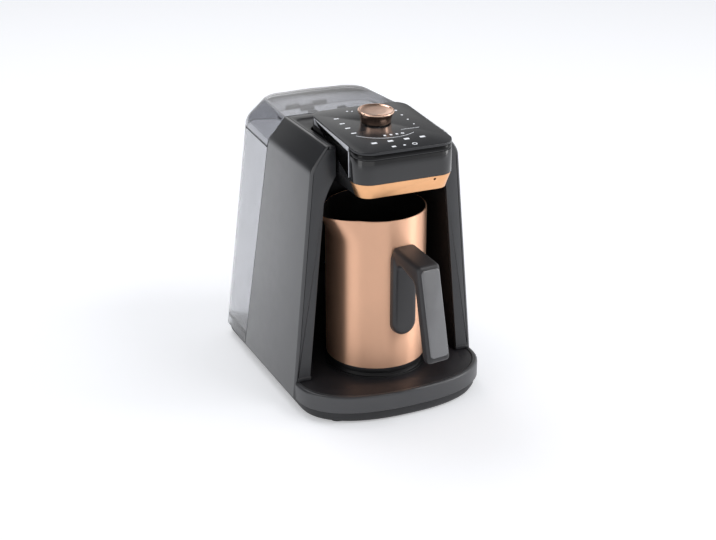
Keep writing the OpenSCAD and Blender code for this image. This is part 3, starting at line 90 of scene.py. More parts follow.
# tank and lid: three values go with the groove, the shoulder and the deck, two with the groove and the deck
SEAM_Y = (68.5, 43.5, 40)
BACK_Y = (131, 125.3, 115)
TAPER = (1, 4)
CORNER_R = (14, 20)
SEAM_R = (1.4, 0.6)  # outside, inside
CROWN = 2
TANK_WALL = 2.5
LID_WALL = 2.2
LID_EDGE_R = 1.8
LID_SEAM_Z = 208.5
TANK_FOOT_Z = low("tank_body").z
TANK_FLOOR_Z = 18.8
TANK_FLOOR_T = 2.5
OUTLET_Y = 94
# the outlet's socket: radius, height
SOCKET = ((9.4, TANK_FLOOR_Z), (12, TANK_FLOOR_Z), (12.2, 19.4), (12.2, 30.2), (11.8, 30.8),
          (5, 30.8), (5, 26.2), (9.4, 26.2))
# the hinge: its barrel, half the tank's lug, one of the lid's ears, and the leaf on a barrel
HINGE_R = 3
LUG_X = 7.5
EAR_X = (7.8, 22)
LEAF_Y = (4.6, 1.2)
LEAF_Z = (0.8, 7)
LEAF_R = 0.8

# the tray
TRAY_W = 172
TRAY_REACH = 53.1
TRAY_RIM_Z = high("front_tray").z
TRAY_FLOOR_Z = low("tray_mat").z
TRAY_EDGE_R = 2.4
TRAY_WALL = 3
RIM_W = 4.5
SHELF_T = 2.5
SHELF_BACK_Y = 20
NOSE_Y = WING_Y - SEAM
NOSE_POWER = 2.35

# the head and its front band
HEAD_W = 89
HEAD_FRONT_Y = low("touch_panel").y
HEAD_BACK_Y = 10
HEAD_FRONT_R = 15
PANEL_FRONT_Z = 239.4
PANEL_BACK_Z = high("touch_panel").z
FASCIA_Z = 212.2
FASCIA_T = 1.5
WRAP_Y = -76.2
TILT = math.atan2(PANEL_BACK_Z - PANEL_FRONT_Z, HEAD_BACK_Y - HEAD_FRONT_Y)

KNOB_Y = -30.5
KNOB_R = 15.5
KNOB_H = 10.9

# the pot
POT_Y = -31.4
POT_TURN = math.radians(7)
POT_R = 44
POT_WALL = 1.2
POT_Z = low("pot_base").z
SHELL_Z = POT_Z + 5.3
POT_TOP_Z = high("pot_body").z
POT_STEPS = 180
DISC_R = 38
RECESS_R = 9.6
LIP_REACH = 11.5
LIP_H = 22
LIP_SPREAD = math.radians(42)

# its handle: an R that isn't a rounding is a distance from the pot's middle line
HANDLE_W = 21.5
HANDLE_EDGE_R = 3.6
HANDLE_VOXEL = 0.75
BAR_TOP_Z = POT_TOP_Z - 23
BAR_DROP = 5
BAR_H = 14
BAR_CORNER_R = 4
GRIP_TOP_Z = BAR_TOP_Z - BAR_DROP
GRIP_H = 82
GRIP_FOOT_Z = GRIP_TOP_Z - GRIP_H
GRIP_TOP_R = 84
GRIP_FOOT_R = 103
GRIP_DEPTH = 12
INSERT_W = HANDLE_W - 4
INSERT_TOP_Z = GRIP_TOP_Z - 3
INSERT_FOOT_Z = GRIP_FOOT_Z + 6
INSERT_CORNER_R = 3
PAD_W = 23.5
PAD_H = 81
PAD_T = 5
PAD_TOP_Z = POT_TOP_Z - 24

# widths of the rounded edges on the CAD nodes that stay
SOFT_EDGES = {
    "front_frame": 2.0, "top_deck": 0.5, "head_shell": 0.4, "head_trim": 0.5, "head_underside": 0.6,
    "head_strips": 0.25, "touch_panel": 0.8, "tray_mat": 0.5, "heating_plate": 0.6, "pot_base": 0.6,
    "base_pan": 0.5, "bay_liner": 0.3, "back_shell": 0.4, "tank_handle": 0.8, "rubber_feet": 0.4,
    "cord_gland": 0.4, "tank_filter": 0.3, "water_nozzle": 0.3, "foam_sensor": 0.4,
}
EDGE_STEPS = 3

# degrees: edges over SHARP are shaded sharp, edges over SOFT rounded, and edges under FLAT dissolved
SHARP_ANGLE = 34
SOFT_ANGLE = 32
FLAT_ANGLE = 0.4

# ---------------------------------------------------------------- mesh helpers


def smooth_group():
    """Geometry nodes that shade a mesh smooth, apart from its sharp edges."""
    group = bpy.data.node_groups.new("smooth_by_angle", "GeometryNodeTree")
    group.interface.new_socket("Geometry", in_out="INPUT", socket_type="NodeSocketGeometry")
    group.interface.new_socket("Geometry", in_out="OUTPUT", socket_type="NodeSocketGeometry")
    add = group.nodes.new
    start, end = add("NodeGroupInput"), add("NodeGroupOutput")
    normal, angle = add("GeometryNodeSetMeshNormal"), add("GeometryNodeInputMeshEdgeAngle")
    limit = add("ShaderNodeMath")
    limit.operation = "GREATER_THAN"
    limit.inputs[1].default_value = math.radians(SHARP_ANGLE)
    normal.mode = "SHARPNESS"
    normal.inputs["Remove Custom"].default_value = True
    normal.inputs["Face Sharpness"].default_value = False
    link = group.links.new
    link(start.outputs[0], normal.inputs["Mesh"])
    link(angle.outputs["Unsigned Angle"], limit.inputs[0])
    link(limit.outputs[0], normal.inputs["Edge Sharpness"])
    link(normal.outputs[0], end.inputs[0])
    return group


SMOOTH = smooth_group()


def shade(obj):
    obj.modifiers.new("smooth", "NODES").node_group = SMOOTH


def soften(node, width):
    """Rounds a CAD node's sharp edges with modifiers and leaves its mesh as it is."""
    obj = NODES[node]
    weld = obj.modifiers.new("weld", "WELD")
    weld.merge_threshold = 2e-6
    flat = obj.modifiers.new("flat", "DECIMATE")
    flat.decimate_type = "DISSOLVE"
    flat.angle_limit = math.radians(FLAT_ANGLE)
    bevel = obj.modifiers.new("bevel", "BEVEL")
    bevel.width = width * MM
    bevel.segments = EDGE_STEPS
    bevel.limit_method = "ANGLE"
    bevel.angle_limit = math.radians(SOFT_ANGLE)
    shade(obj)


def arc(centre, radius, start, end, steps):
    """Points on an arc, from angle start to angle end in degrees."""
    angles = (math.radians(start + (end - start) * i / steps) for i in range(steps + 1))
    return [(centre[0] + radius * math.cos(a), centre[1] + radius * math.sin(a)) for a in angles]


def grid(rows, close_rows=False, close_cols=True, cap_rows=False, cap_cols=False):
    """Vertices and faces of a mesh through rows of equally many points."""
    n, m = len(rows), len(rows[0])
    verts = [tuple(p) for row in rows for p in row]
    faces = []
    for r in range(n if close_rows else n - 1):
        for c in range(m if close_cols else m - 1):
            a, b = r * m, (r + 1) % n * m
            d = (c + 1) % m
            faces.append((a + c, a + d, b + d, b + c))
    if cap_rows:
        faces.append(tuple(range(m))[::-1])
        faces.append(tuple((n - 1) * m + c for c in range(m)))
    if cap_cols:
        faces.append(tuple(r * m for r in range(n)))
        faces.append(tuple(r * m + m - 1 for r in range(n))[::-1])
    return verts, faces


def merged(*parts):
    """Several (vertices, faces) pairs as one."""
    verts, faces = [], []
    for v, f in parts:
        faces += [tuple(i + len(verts) for i in face) for face in f]
        verts += v
    return verts, faces


def moved(part, matrix):
    return [tuple(matrix @ Vector(v)) for v in part[0]], part[1]


def lathe(profile, steps=96, loop=False):
    """A body of revolution about Z, from an open profile or from a loop that is off the axis."""
    turns = [2 * math.pi * i / steps for i in range(steps)]
    rows = [[(r * math.cos(t), r * math.sin(t), z) for t in turns] for r, z in profile]
    return grid(rows, close_rows=loop, cap_rows=not loop)


def rounded_rect(lo, hi, r, steps):
    """The outline of a rectangle with round corners."""
    (a, b), (c, d) = lo, hi
    return (arc((c - r, b + r), r, -90, 0, steps) + arc((c - r, d - r), r, 0, 90, steps)
            + arc((a + r, d - r), r, 90, 180, steps) + arc((a + r, b + r), r, 180, 270, steps))


def rounded_box(lo, hi, r, steps=3):
    """A box with rounded vertical edges and rounded top and bottom rims."""

    def outline(inset):
        near, far = (lo[0] + inset, lo[1] + inset), (hi[0] - inset, hi[1] - inset)
        return rounded_rect(near, far, max(r - inset, 0.01), steps)

    return slab(outline, lo[2], hi[2], r * 0.8, r * 0.8)


def quarter(steps):
    """Angles from 0 to 90 degrees, in radians."""
    return [math.pi / 2 * i / steps for i in range(steps + 1)]


def round_over(r, z, steps):
    """(inset, height) up a wall's rounded top edge at height z."""
    return [(r - r * math.cos(t), z - r + r * math.sin(t)) for t in quarter(steps)]


def edge_profile(z0, z1, r0, r1, steps=4):
    """(inset, height) up a wall with a rounded foot r0 and a rounded top r1."""
    foot = [(r0 * (1 - math.sin(t)), z0 + r0 * (1 - math.cos(t))) for t in quarter(steps)]
    top = [(r1 * (1 - math.cos(t)), z1 - r1 * (1 - math.sin(t))) for t in quarter(steps)]
    return (foot if r0 else [(0, z0)]) + (top if r1 else [(0, z1)])


def slab(outline, z0, z1, r0, r1):
    """A solid of constant outline with rounded rims. outline takes an inset."""
    rows = [[(x, y, z) for x, y in outline(inset)] for inset, z in edge_profile(z0, z1, r0, r1)]
    return grid(rows, cap_rows=True)


def new_object(name, part, looks):
    mesh = bpy.data.meshes.new(name)
    mesh.from_pydata([Vector(v) * MM for v in part[0]], [], part[1])
    bm = bmesh.new()
    bm.from_mesh(mesh)
    bmesh.ops.recalc_face_normals(bm, faces=bm.faces)
    bm.to_mesh(mesh)
    bm.free()
    for look in looks:
        mesh.materials.append(look)
    obj = bpy.data.objects.new(name, mesh)
    bpy.context.scene.collection.objects.link(obj)
    return obj


def piece(name, part, body, slot, *replaced, looks=None):
    """A finished piece of the visual model, from millimetres."""
    obj = new_object(name, part, looks or [LOOKS[slot]])
    shade(obj)
    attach(obj, body)
    if replaced:
        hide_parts(*replaced)
    return obj


# ---------------------------------------------------------------- materials


class Paint:
    """A procedural material on the Principled shader, in object coordinates."""

    def __init__(self, name):
        self.material = bpy.data.materials.new(name)
        self.material.use_nodes = True
        self.tree = self.material.node_tree
        self.shader = self.tree.nodes["Principled BSDF"]
        self.place = self.add("ShaderNodeTexCoord").outputs["Object"]

    def add(self, kind, **values):
        node = self.tree.nodes.new(kind)
        for key, value in values.items():
            setattr(node, key, value)
        return node

    def link(self, a, b):
        self.tree.links.new(a, b)

    def noise(self, scale, detail=2.0, stretch=(1, 1, 1)):
        mapping = self.add("ShaderNodeMapping")
        mapping.inputs["Scale"].default_value = stretch
        noise = self.add("ShaderNodeTexNoise")
        noise.inputs["Scale"].default_value = scale
        noise.inputs["Detail"].default_value = detail
        self.link(self.place, mapping.inputs["Vector"])
        self.link(mapping.outputs["Vector"], noise.inputs["Vector"])
        return noise.outputs["Fac"]

    def spread(self, value, lo, hi):
        """The value's usual range, 0.3 to 0.7, mapped to lo and hi."""
        span = self.add("ShaderNodeMapRange")
        span.inputs["From Min"].default_value = 0.3
        span.inputs["From Max"].default_value = 0.7
        span.inputs["To Min"].default_value = lo
        span.inputs["To Max"].default_value = hi
        self.link(value, span.inputs["Value"])
        return span.outputs["Result"]

    def colours(self, fac, a, b):
        mix = self.add("ShaderNodeMix", data_type="RGBA")
        mix.inputs["A"].default_value = (*a, 1)
        mix.inputs["B"].default_value = (*b, 1)
        self.link(fac, mix.inputs["Factor"])
        self.link(mix.outputs["Result"], self.shader.inputs["Base Color"])

    def bump(self, height, depth):
        """Relief from height, depth millimetres deep, on top of earlier relief."""
        bump = self.add("ShaderNodeBump")
        bump.inputs["Distance"].default_value = depth * MM
        bump.inputs["Strength"].default_value = 1
        self.link(height, bump.inputs["Height"])
        before = self.shader.inputs["Normal"].links
        if before:
            self.link(before[0].from_socket, bump.inputs["Normal"])
        self.link(bump.outputs["Normal"], self.shader.inputs["Normal"])


TONE_SCALE = 38  # shifts of colour to the metre
SMEAR_SCALE = 90  # smears in the gloss to the metre
RING_DEPTH = 0.03
# materials with turned rings: where their centre is on Y, and how far apart the rings are
TURNED = {"knob_copper": (KNOB_Y, 0.35), "plate_grey": (POT_Y, 0.8)}


def finish(name, colour, rough, metal=0.0, grain=1400, depth=0.012, shift=0.08, smear=0.04, coat=0.0,
           coat_rough=0.08, gloss=0.5, brushed=0.0, turned=0.0, stretch=(1, 1, 1), clear=0.0, ior=1.5):
    """A material with slight colour shifts, smears in its gloss and a fine grain."""
    paint = Paint(name)
    inputs = paint.shader.inputs
    inputs["Metallic"].default_value = metal
    inputs["IOR"].default_value = ior
    inputs["Coat Weight"].default_value = coat
    inputs["Coat Roughness"].default_value = coat_rough
    inputs["Specular IOR Level"].default_value = gloss
    inputs["Anisotropic"].default_value = brushed
    inputs["Anisotropic Rotation"].default_value = turned
    inputs["Transmission Weight"].default_value = clear
    tone = paint.spread(paint.noise(TONE_SCALE, 3), 0, 1)
    paint.colours(tone, [c * (1 - shift) for c in colour], [min(c * (1 + shift), 1) for c in colour])
    smears = paint.spread(paint.noise(SMEAR_SCALE, 4), rough - smear, rough + smear)
    paint.link(smears, inputs["Roughness"])
    if depth:
        paint.bump(paint.noise(grain, 2, stretch), depth)
    return paint


def ring_brushed(paint, y, pitch):
    """Fine turned rings in the XY plane, round a centre at y."""
    shift = paint.add("ShaderNodeMapping")
    shift.inputs["Location"].default_value = (0, -y * MM, 0)
    flat = paint.add("ShaderNodeVectorMath", operation="MULTIPLY")
    flat.inputs[1].default_value = (1, 1, 0)
    length = paint.add("ShaderNodeVectorMath", operation="LENGTH")
    noise = paint.add("ShaderNodeTexNoise", noise_dimensions="1D")
    noise.inputs["Scale"].default_value = 1 / (pitch * MM)
    noise.inputs["Detail"].default_value = 1
    paint.link(paint.place, shift.inputs["Vector"])
    paint.link(shift.outputs["Vector"], flat.inputs[0])
    paint.link(flat.outputs["Vector"], length.inputs[0])
    paint.link(length.outputs["Value"], noise.inputs["W"])
    paint.bump(noise.outputs["Fac"], RING_DEPTH)


def make_looks():
    table = {
        "panel_grey": dict(colour=(0.022, 0.023, 0.026), rough=0.3, grain=1700, depth=0.014, smear=0.02,
                           gloss=0.8, coat=0.35, coat_rough=0.3),
        "frame_grey": dict(colour=(0.036, 0.037, 0.04), rough=0.34, grain=1700, depth=0.016, smear=0.02,
                           gloss=0.55),
        # The tray's look is a lighter copy of frame_grey: painted light on the tray's wall, which is of the
        # frame's plastic
        "tray_lit_grey": dict(colour=(0.045, 0.046, 0.05), rough=0.36, grain=1700, depth=0.016, smear=0.02,
                          gloss=0.8),
        "bay_black": dict(colour=(0.006, 0.006, 0.007), rough=0.5, grain=1200, depth=0.02),
        "deck_grey": dict(colour=(0.022, 0.022, 0.025), rough=0.34, grain=1500, depth=0.02, gloss=0.7),
        "pan_black": dict(colour=(0.018, 0.018, 0.02), rough=0.5, grain=1200, depth=0.03),
        "mat_black": dict(colour=(0.022, 0.021, 0.024), rough=0.4, grain=900, depth=0.03),
        "rubber_black": dict(colour=(0.012, 0.012, 0.012), rough=0.7, grain=800, depth=0.05),
        "seal_red": dict(colour=(0.3, 0.06, 0.04), rough=0.5, grain=900, depth=0.02),
        "screw_steel": dict(colour=(0.62, 0.63, 0.65), rough=0.3, metal=1, stretch=(1, 1, 0.1)),
        "spring_steel": dict(colour=(0.55, 0.56, 0.58), rough=0.28, metal=1),
        "plate_grey": dict(colour=(0.012, 0.012, 0.013), rough=0.4, grain=1000, depth=0.02),
        "bracket_steel": dict(colour=(0.5, 0.5, 0.52), rough=0.35, metal=1, stretch=(0.1, 1, 1)),
        "element_metal": dict(colour=(0.2, 0.17, 0.15), rough=0.5, metal=0.8, depth=0.04),
        "ceramic": dict(colour=(0.66, 0.62, 0.52), rough=0.45),
        "sensor_metal": dict(colour=(0.65, 0.65, 0.66), rough=0.28, metal=1),
        "head_black": dict(colour=(0.01, 0.01, 0.011), rough=0.14, depth=0.002, smear=0.02, gloss=0.7),
        "rim_black": dict(colour=(0.003, 0.003, 0.0035), rough=0.08, depth=0.001, smear=0.02, gloss=0.25),
        "head_copper": dict(colour=(0.86, 0.47, 0.24), rough=0.34, metal=1, stretch=(0.15, 0.15, 1),
                            depth=0.01),
        "strip_silver": dict(colour=(0.62, 0.63, 0.66), rough=0.36, metal=0.7, stretch=(1, 0.08, 1)),
        "panel_glass": dict(colour=(0.02, 0.021, 0.024), rough=0.22, grain=1800, depth=0.004, smear=0.02),
        "mark_white": dict(colour=(0.8, 0.81, 0.84), rough=0.5, depth=0.004),
        "white_plastic": dict(colour=(0.74, 0.74, 0.72), rough=0.4),
        "board_green": dict(colour=(0.02, 0.12, 0.06), rough=0.35, shift=0.2),
        "component_dark": dict(colour=(0.03, 0.033, 0.04), rough=0.4),
        "encoder_metal": dict(colour=(0.5, 0.5, 0.52), rough=0.35, metal=1),
        "pump_cream": dict(colour=(0.6, 0.57, 0.5), rough=0.5),
        "hose_clear": dict(colour=(0.72, 0.72, 0.69), rough=0.3, clear=0.3),
        "coupling_black": dict(colour=(0.02, 0.02, 0.022), rough=0.45),
        "cable_grey": dict(colour=(0.42, 0.42, 0.44), rough=0.5, stretch=(0.1, 0.1, 1)),
        "wire_tan": dict(colour=(0.5, 0.38, 0.18), rough=0.6),
        "tank_clear": dict(colour=(0.74, 0.745, 0.765), rough=0.2, clear=0.97, depth=0.003, shift=0.015,
                           ior=1.42),
        "lid_smoke": dict(colour=(0.52, 0.525, 0.55), rough=0.06, clear=0.97, depth=0.003, shift=0.02,
                          smear=0.02, gloss=0.35, ior=1.42),
        "handle_frost": dict(colour=(0.5, 0.5, 0.53), rough=0.35, clear=0.3),
        "pot_copper": dict(colour=(0.97, 0.585, 0.395), rough=0.48, metal=0.84, grain=700, depth=0.0004,
                           stretch=(0.06, 0.06, 1), shift=0.02, smear=0.008, brushed=0.9, turned=0.25),
        "pot_black": dict(colour=(0.008, 0.008, 0.009), rough=0.4),
        "handle_charcoal": dict(colour=(0.032, 0.031, 0.033), rough=0.4, grain=1500, depth=0.014, smear=0.02),
        "insert_grey": dict(colour=(0.17, 0.17, 0.175), rough=0.24, grain=1500, depth=0.003, smear=0.02,
                            coat=0.9),
        "knob_copper": dict(colour=(0.9, 0.6, 0.46), rough=0.16, metal=1, depth=0, smear=0.02, shift=0.03),
        "pot_lining": dict(colour=(0.01, 0.009, 0.009), rough=0.36),
    }
    looks = {}
    for name, values in table.items():
        paint = finish(name, **values)
        if name in TURNED:
            ring_brushed(paint, *TURNED[name])
        if name == "mark_white":
            # Painted glow: the printed white marks get a faint emission, though no lamp lights them
            paint.shader.inputs["Emission Color"].default_value = (0.9, 0.93, 1, 1)
            paint.shader.inputs["Emission Strength"].default_value = 0.3
        looks[name] = paint.material
    return looks


def dress_nodes():
    """Gives every CAD node the material of its slot."""
    for part in frame["record"]["subparts"]:
        for slot in NODES[part["node"]].material_slots:
            slot.material = LOOKS[part["material_slot"]]


# ---------------------------------------------------------------- outlines of the body


def run(z, foot, shoulder, deck):
    """A measure that runs straight from the groove to the shoulder and the deck, with a soft bend."""

    def straight(h):
        if h < SHOULDER_Z:
            return foot + (shoulder - foot) * (h - GROOVE_Z) / (SHOULDER_Z - GROOVE_Z)
        return shoulder + (deck - shoulder) * (h - SHOULDER_Z) / (DECK_Z - SHOULDER_Z)

    t = (z - SHOULDER_Z + BEND) / (2 * BEND)
    if not 0 < t < 1:
        return straight(z)
    a, b, c = (straight(SHOULDER_Z + s * BEND) for s in (-1, 0, 1))
    return a * (1 - t) ** 2 + 2 * b * t * (1 - t) + c * t * t


def half_w(z):
    return run(z, FOOT_W / 2, SHOULDER_W / 2, DECK_W / 2)


def seam_y(z):
    return run(z, *SEAM_Y)


def between(z, pair):
    """A measure that runs straight from the groove to the deck."""
    return pair[0] + (pair[1] - pair[0]) * (z - GROOVE_Z) / (DECK_Z - GROOVE_Z)


def bend_heights(steps):
    """Heights through the shoulder's soft bend."""
    return [SHOULDER_Z - BEND + 2 * BEND * i / steps for i in range(steps + 1)]


def at_height(outline, z):
    return [(x, y, z) for x, y in outline]


def block_ring(z, inset):
    """Tank and lid at a height: rounded at the seam, round corners and a crowned back."""
    front = seam_y(z) + inset
    w = half_w(z) - inset
    back_w = w - between(z, TAPER)
    back_y = run(z, *BACK_Y) - inset
    r = between(z, CORNER_R) - inset
    seam_r = SEAM_R[0] if inset < 1 else SEAM_R[1]
    xs = [(back_w - r) * (1 - i / 12) for i in range(1, 13)]
    crown = [(x, back_y + CROWN * (1 + math.cos(math.pi * x / (back_w - r))) / 2) for x in xs]
    half = arc((w - seam_r, front + seam_r), seam_r, -90, 0, 4)
    half += arc((back_w - r, back_y - r), r, 0, 90, 16) + crown
    return half + [(-x, y) for x, y in reversed(half[:-1])]


def block_rows(section):
    """Rings of the tank's block through a section of (inset, height) points."""
    return [at_height(block_ring(z, inset), z) for inset, z in section]


# ---------------------------------------------------------------- shells


def side_panels():
    """Side covers with a soft shoulder and a rounded front edge."""
    flush = [GROOVE_Z + 0.5] + [GROOVE_Z + 18 * i for i in range(1, 11)] + bend_heights(10)
    flush += [SHOULDER_Z + BEND + (DECK_Z - SHOULDER_Z - BEND) * i / 4 for i in range(1, 4)]
    flush += [DECK_Z - 0.6]
    rows = []
    for z, inset in [(GROOVE_Z, 0.5)] + [(z, 0) for z in flush] + [(DECK_Z - 0.2, 0.18), (DECK_Z, 0.6)]:
        w = half_w(z) - inset
        back = seam_y(z) - SEAM / 2
        inner = half_w(z) - SKIN
        front_r, back_r = COVER_FRONT_R, COVER_BACK_R
        outline = [(inner, WING_Y)] + arc((w - front_r, WING_Y + front_r), front_r, -90, 0, 8)
        outline += arc((w - back_r, back - back_r), back_r, 0, 90, 3) + [(inner, back)]
        rows.append(at_height(outline, z))
    right, faces = grid(rows, cap_rows=True)
    for side, name in ((1, "right"), (-1, "left")):
        verts = [(side * x, y, z) for x, y, z in right]
        piece(f"side_cover_{name}", (verts, faces), "housing", "panel_grey", f"side_panel_{name}")


def sgn_pow(v):
    return math.copysign(abs(v) ** (2 / NOSE_POWER), v)


def nose_arc(inset, steps=64):
    """Half a superellipse in front of the wings, from the left end to the right end."""
    out = []
    for i in range(steps + 1):
        a = math.pi + math.pi * i / steps
        c = -1.0 if i == 0 else 1.0 if i == steps else math.cos(a)
        s = 0.0 if i in (0, steps) else math.sin(a)
        out.append(((TRAY_W / 2 - inset) * sgn_pow(c), NOSE_Y + (TRAY_REACH - inset) * sgn_pow(s)))
    return out


def tray():
    """The tray's rounded wall, swept round the nose, and the floor under the mat."""
    top, foot, under = TRAY_RIM_Z, GROOVE_Z, TRAY_FLOOR_Z - SHELF_T
    section = [(0.5, foot), (0, foot + 0.6), (0, foot + 7)] + round_over(TRAY_EDGE_R, top, 6)
    section += [(RIM_W - 0.7, top), (RIM_W - 0.2, top - 0.2), (RIM_W, top - 0.7), (RIM_W, under)]
    section += [(TRAY_WALL, under), (TRAY_WALL, foot)]
    rows = [at_height(nose_arc(inset), z) for inset, z in section]
    wall = grid(rows, close_rows=True, close_cols=False, cap_cols=True)
    rear, back = half_w(TRAY_RIM_Z) - SKIN - SEAM - 0.6, SHELF_BACK_Y
    outline = nose_arc(RIM_W - 0.5)[1:-1] + [(rear, NOSE_Y), (rear, back), (-rear, back), (-rear, NOSE_Y)]
    shelf = grid([at_height(outline, under), at_height(outline, TRAY_FLOOR_Z)], cap_rows=True)
    # the tray wears the lighter copy of its frame_grey slot: painted light
    piece("tray_shell", merged(wall, shelf), "housing", "frame_grey", "front_tray",
          looks=[LOOKS["tray_lit_grey"]])


def head_path(inset):
    """The front of the head's outline, from the left end of its wrap round to the right end."""
    w, front, r = HEAD_W / 2 - inset, HEAD_FRONT_Y + inset, HEAD_FRONT_R - inset
    return ([(-w, WRAP_Y)] + arc((r - w, front + r), r, 180, 270, 14)
            + arc((w - r, front + r), r, 270, 360, 14) + [(w, WRAP_Y)])


def panel_z(y):
    return PANEL_FRONT_Z + (y - HEAD_FRONT_Y) * math.tan(TILT)


def fascia():
    """Glossy band round the head's front, with a groove under the panel's dark rim."""
    up = FASCIA_Z
    # inset, height or None, depth below the panel's face
    band = [(FASCIA_T, up, 0), (0.35, up, 0), (0.1, up + 0.12, 0), (0, up + 0.4, 0), (0, None, 7.2),
            (0.15, None, 6.9), (0.7, None, 6.7), (0.7, None, 6.1)]
    rim = [(0.25, None, 6.0), (0.25, None, 3.2), (0.5, None, 2.75), (FASCIA_T, None, 2.7)]
    rows = []
    for inset, z, depth in band + rim:
        rows.append([(x, y, panel_z(y) - depth if z is None else z) for x, y in head_path(inset)])
    part = grid(rows, close_rows=True, close_cols=False, cap_cols=True)
    obj = piece("fascia_band", part, "housing", "head_black", "head_fascia",
                looks=[LOOKS["head_black"], LOOKS["rim_black"]])
    across = len(rows[0]) - 1
    first = len(band) * across
    for face in obj.data.polygons[first:first + (len(rim) - 1) * across]:
        face.material_index = 1


# ---------------------------------------------------------------- tank and lid


def tank():
    """The tank's open shell, the outlet's socket in its floor, and both sides of the lid's hinge."""
    top, foot, wall = LID_SEAM_Z - SEAM / 2, TANK_FOOT_Z, TANK_WALL
    floor_z = TANK_FLOOR_Z + TANK_FLOOR_T
    section = [(wall + 4, floor_z), (wall + 1.2, floor_z + 0.8), (wall + 0.3, floor_z + 2.2)]
    section += [(wall, floor_z + 4), (wall, top - 0.4), (wall - 0.4, top), (0.4, top), (0, top - 0.4)]
    section += [(0, foot + 0.8), (0.3, foot + 0.2), (0.8, foot), (wall, foot), (wall, TANK_FLOOR_Z)]
    piece("tank_shell", grid(block_rows(section), cap_rows=True), "tank", "tank_clear", "tank_body")
    socket = moved(lathe(SOCKET, loop=True), Matrix.Translation((0, OUTLET_Y, 0)))
    piece("outlet_socket", socket, "tank", "tank_clear")
    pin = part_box("lid_hinge_pin")
    hinge_y = (pin[0].y + pin[1].y) / 2 / MM
    piece("hinge_lug", knuckle(-LUG_X, LUG_X, hinge_y, -1), "tank", "handle_frost")
    a, b = EAR_X
    ears = merged(knuckle(a, b, hinge_y, 1), knuckle(-b, -a, hinge_y, 1))
    piece("hinge_ears", ears, "lid", "handle_frost")


def knuckle(x0, x1, y, up):
    """A round barrel on the lid's hinge line, with its leaf above (1) or below (-1) the seam."""
    r, length = HINGE_R, x1 - x0
    profile = [(0.01, 0), (r - 0.4, 0), (r, 0.4), (r, length - 0.4), (r - 0.4, length), (0.01, length)]
    turn = Matrix.Translation((x0, y, LID_SEAM_Z)) @ Matrix.Rotation(math.pi / 2, 4, "Y")
    lo, hi = sorted(LID_SEAM_Z + up * z for z in LEAF_Z)
    leaf = rounded_box((x0, y - LEAF_Y[0], lo), (x1, y + LEAF_Y[1], hi), LEAF_R)
    return merged(moved(lathe(profile, 32), turn), leaf)


def lid():
    """The lid's hollow shell, with the body's soft bend and a rounded top edge."""
    foot, under, wall = LID_SEAM_Z + SEAM / 2, DECK_Z - LID_WALL, LID_WALL
    bends = bend_heights(8)
    inside = [(wall + 1.2, under), (wall + 0.4, under - 0.4), (wall, under - 1.4)]
    inside += [(wall, z) for z in reversed(bends)] + [(wall, foot + 0.4), (wall - 0.4, foot)]
    outside = [(0.4, foot), (0, foot + 0.4)] + [(0, z) for z in bends] + round_over(LID_EDGE_R, DECK_Z, 5)
    piece("lid_shell", grid(block_rows(inside + outside), cap_rows=True), "lid", "lid_smoke", "tank_lid")


# ---------------------------------------------------------------- pot


POT_PLACE = Matrix.Translation((0, POT_Y, 0)) @ Matrix.Rotation(POT_TURN, 4, "Z")


def lip(angle, z):
    """How far the pouring lip bulges at an angle from the -X side and at a height."""
    up = max(0.0, (z - POT_TOP_Z + LIP_H) / LIP_H)
    off = abs(angle) / LIP_SPREAD
    if off >= 1:
        return 0.0
    return LIP_REACH * up ** 1.5 * (1 - off) ** 1.25 * (1 + 0.55 * off)


def pot_ring(r, z, lip_z=None):
    """A ring of the pot at height z, with the lip as it is at lip_z."""
    lip_z = z if lip_z is None else lip_z
    out = []
    for i in range(POT_STEPS):
        a = 2 * math.pi * i / POT_STEPS
        off = (a + math.pi) % (2 * math.pi) - math.pi
        reach = r + lip(off, lip_z)
        out.append((-reach * math.cos(a), -reach * math.sin(a), z))
    return out


def pot():
    """The copper shell: a straight wall that flows into the pouring lip, and a rounded rim."""
    r, inner = POT_R, POT_R - POT_WALL
    top, foot = POT_TOP_Z, SHELL_Z
    heights = [foot + 1.2] + [foot + 25 * i for i in range(1, 5)]
    heights += [top - LIP_H + LIP_H * i / 14 for i in range(14)] + [top - 0.6]
    outer = [(RECESS_R, POT_Z + 0.9), (RECESS_R, POT_Z), (DISC_R - 0.4, POT_Z), (DISC_R, POT_Z + 0.4)]
    outer += [(DISC_R, foot), (r - 1, foot), (r - 0.3, foot + 0.35)] + [(r, z) for z in heights]
    rim = [(r - 0.2, top - 0.15, top), (r - 0.6, top), (inner + 0.1, top - 0.15, top)]
    inside = [(inner, z) for z in reversed(heights[1:])] + [(inner, foot + 6), (inner - 1, foot + 2.6)]
    inside += [(inner - 3.5, foot + 0.9), (20, foot + 0.8), (0.5, foot + 0.8)]
    rows = [pot_ring(*ring) for ring in outer + rim + inside]
    obj = piece("pot_shell", moved(grid(rows, cap_rows=True), POT_PLACE), "pot", "pot_copper", "pot_body",
                looks=[LOOKS["pot_copper"], LOOKS["pot_lining"]])
    first_inside = (len(outer) + len(rim) - 1) * POT_STEPS
    for face in obj.data.polygons:
        if min(face.vertices) >= first_inside:
            face.material_index = 1


def grip_out(z):
    """How far the leaning grip's outer face is from the pot's middle line."""
    return GRIP_TOP_R + (GRIP_TOP_Z - z) * (GRIP_FOOT_R - GRIP_TOP_R) / GRIP_H


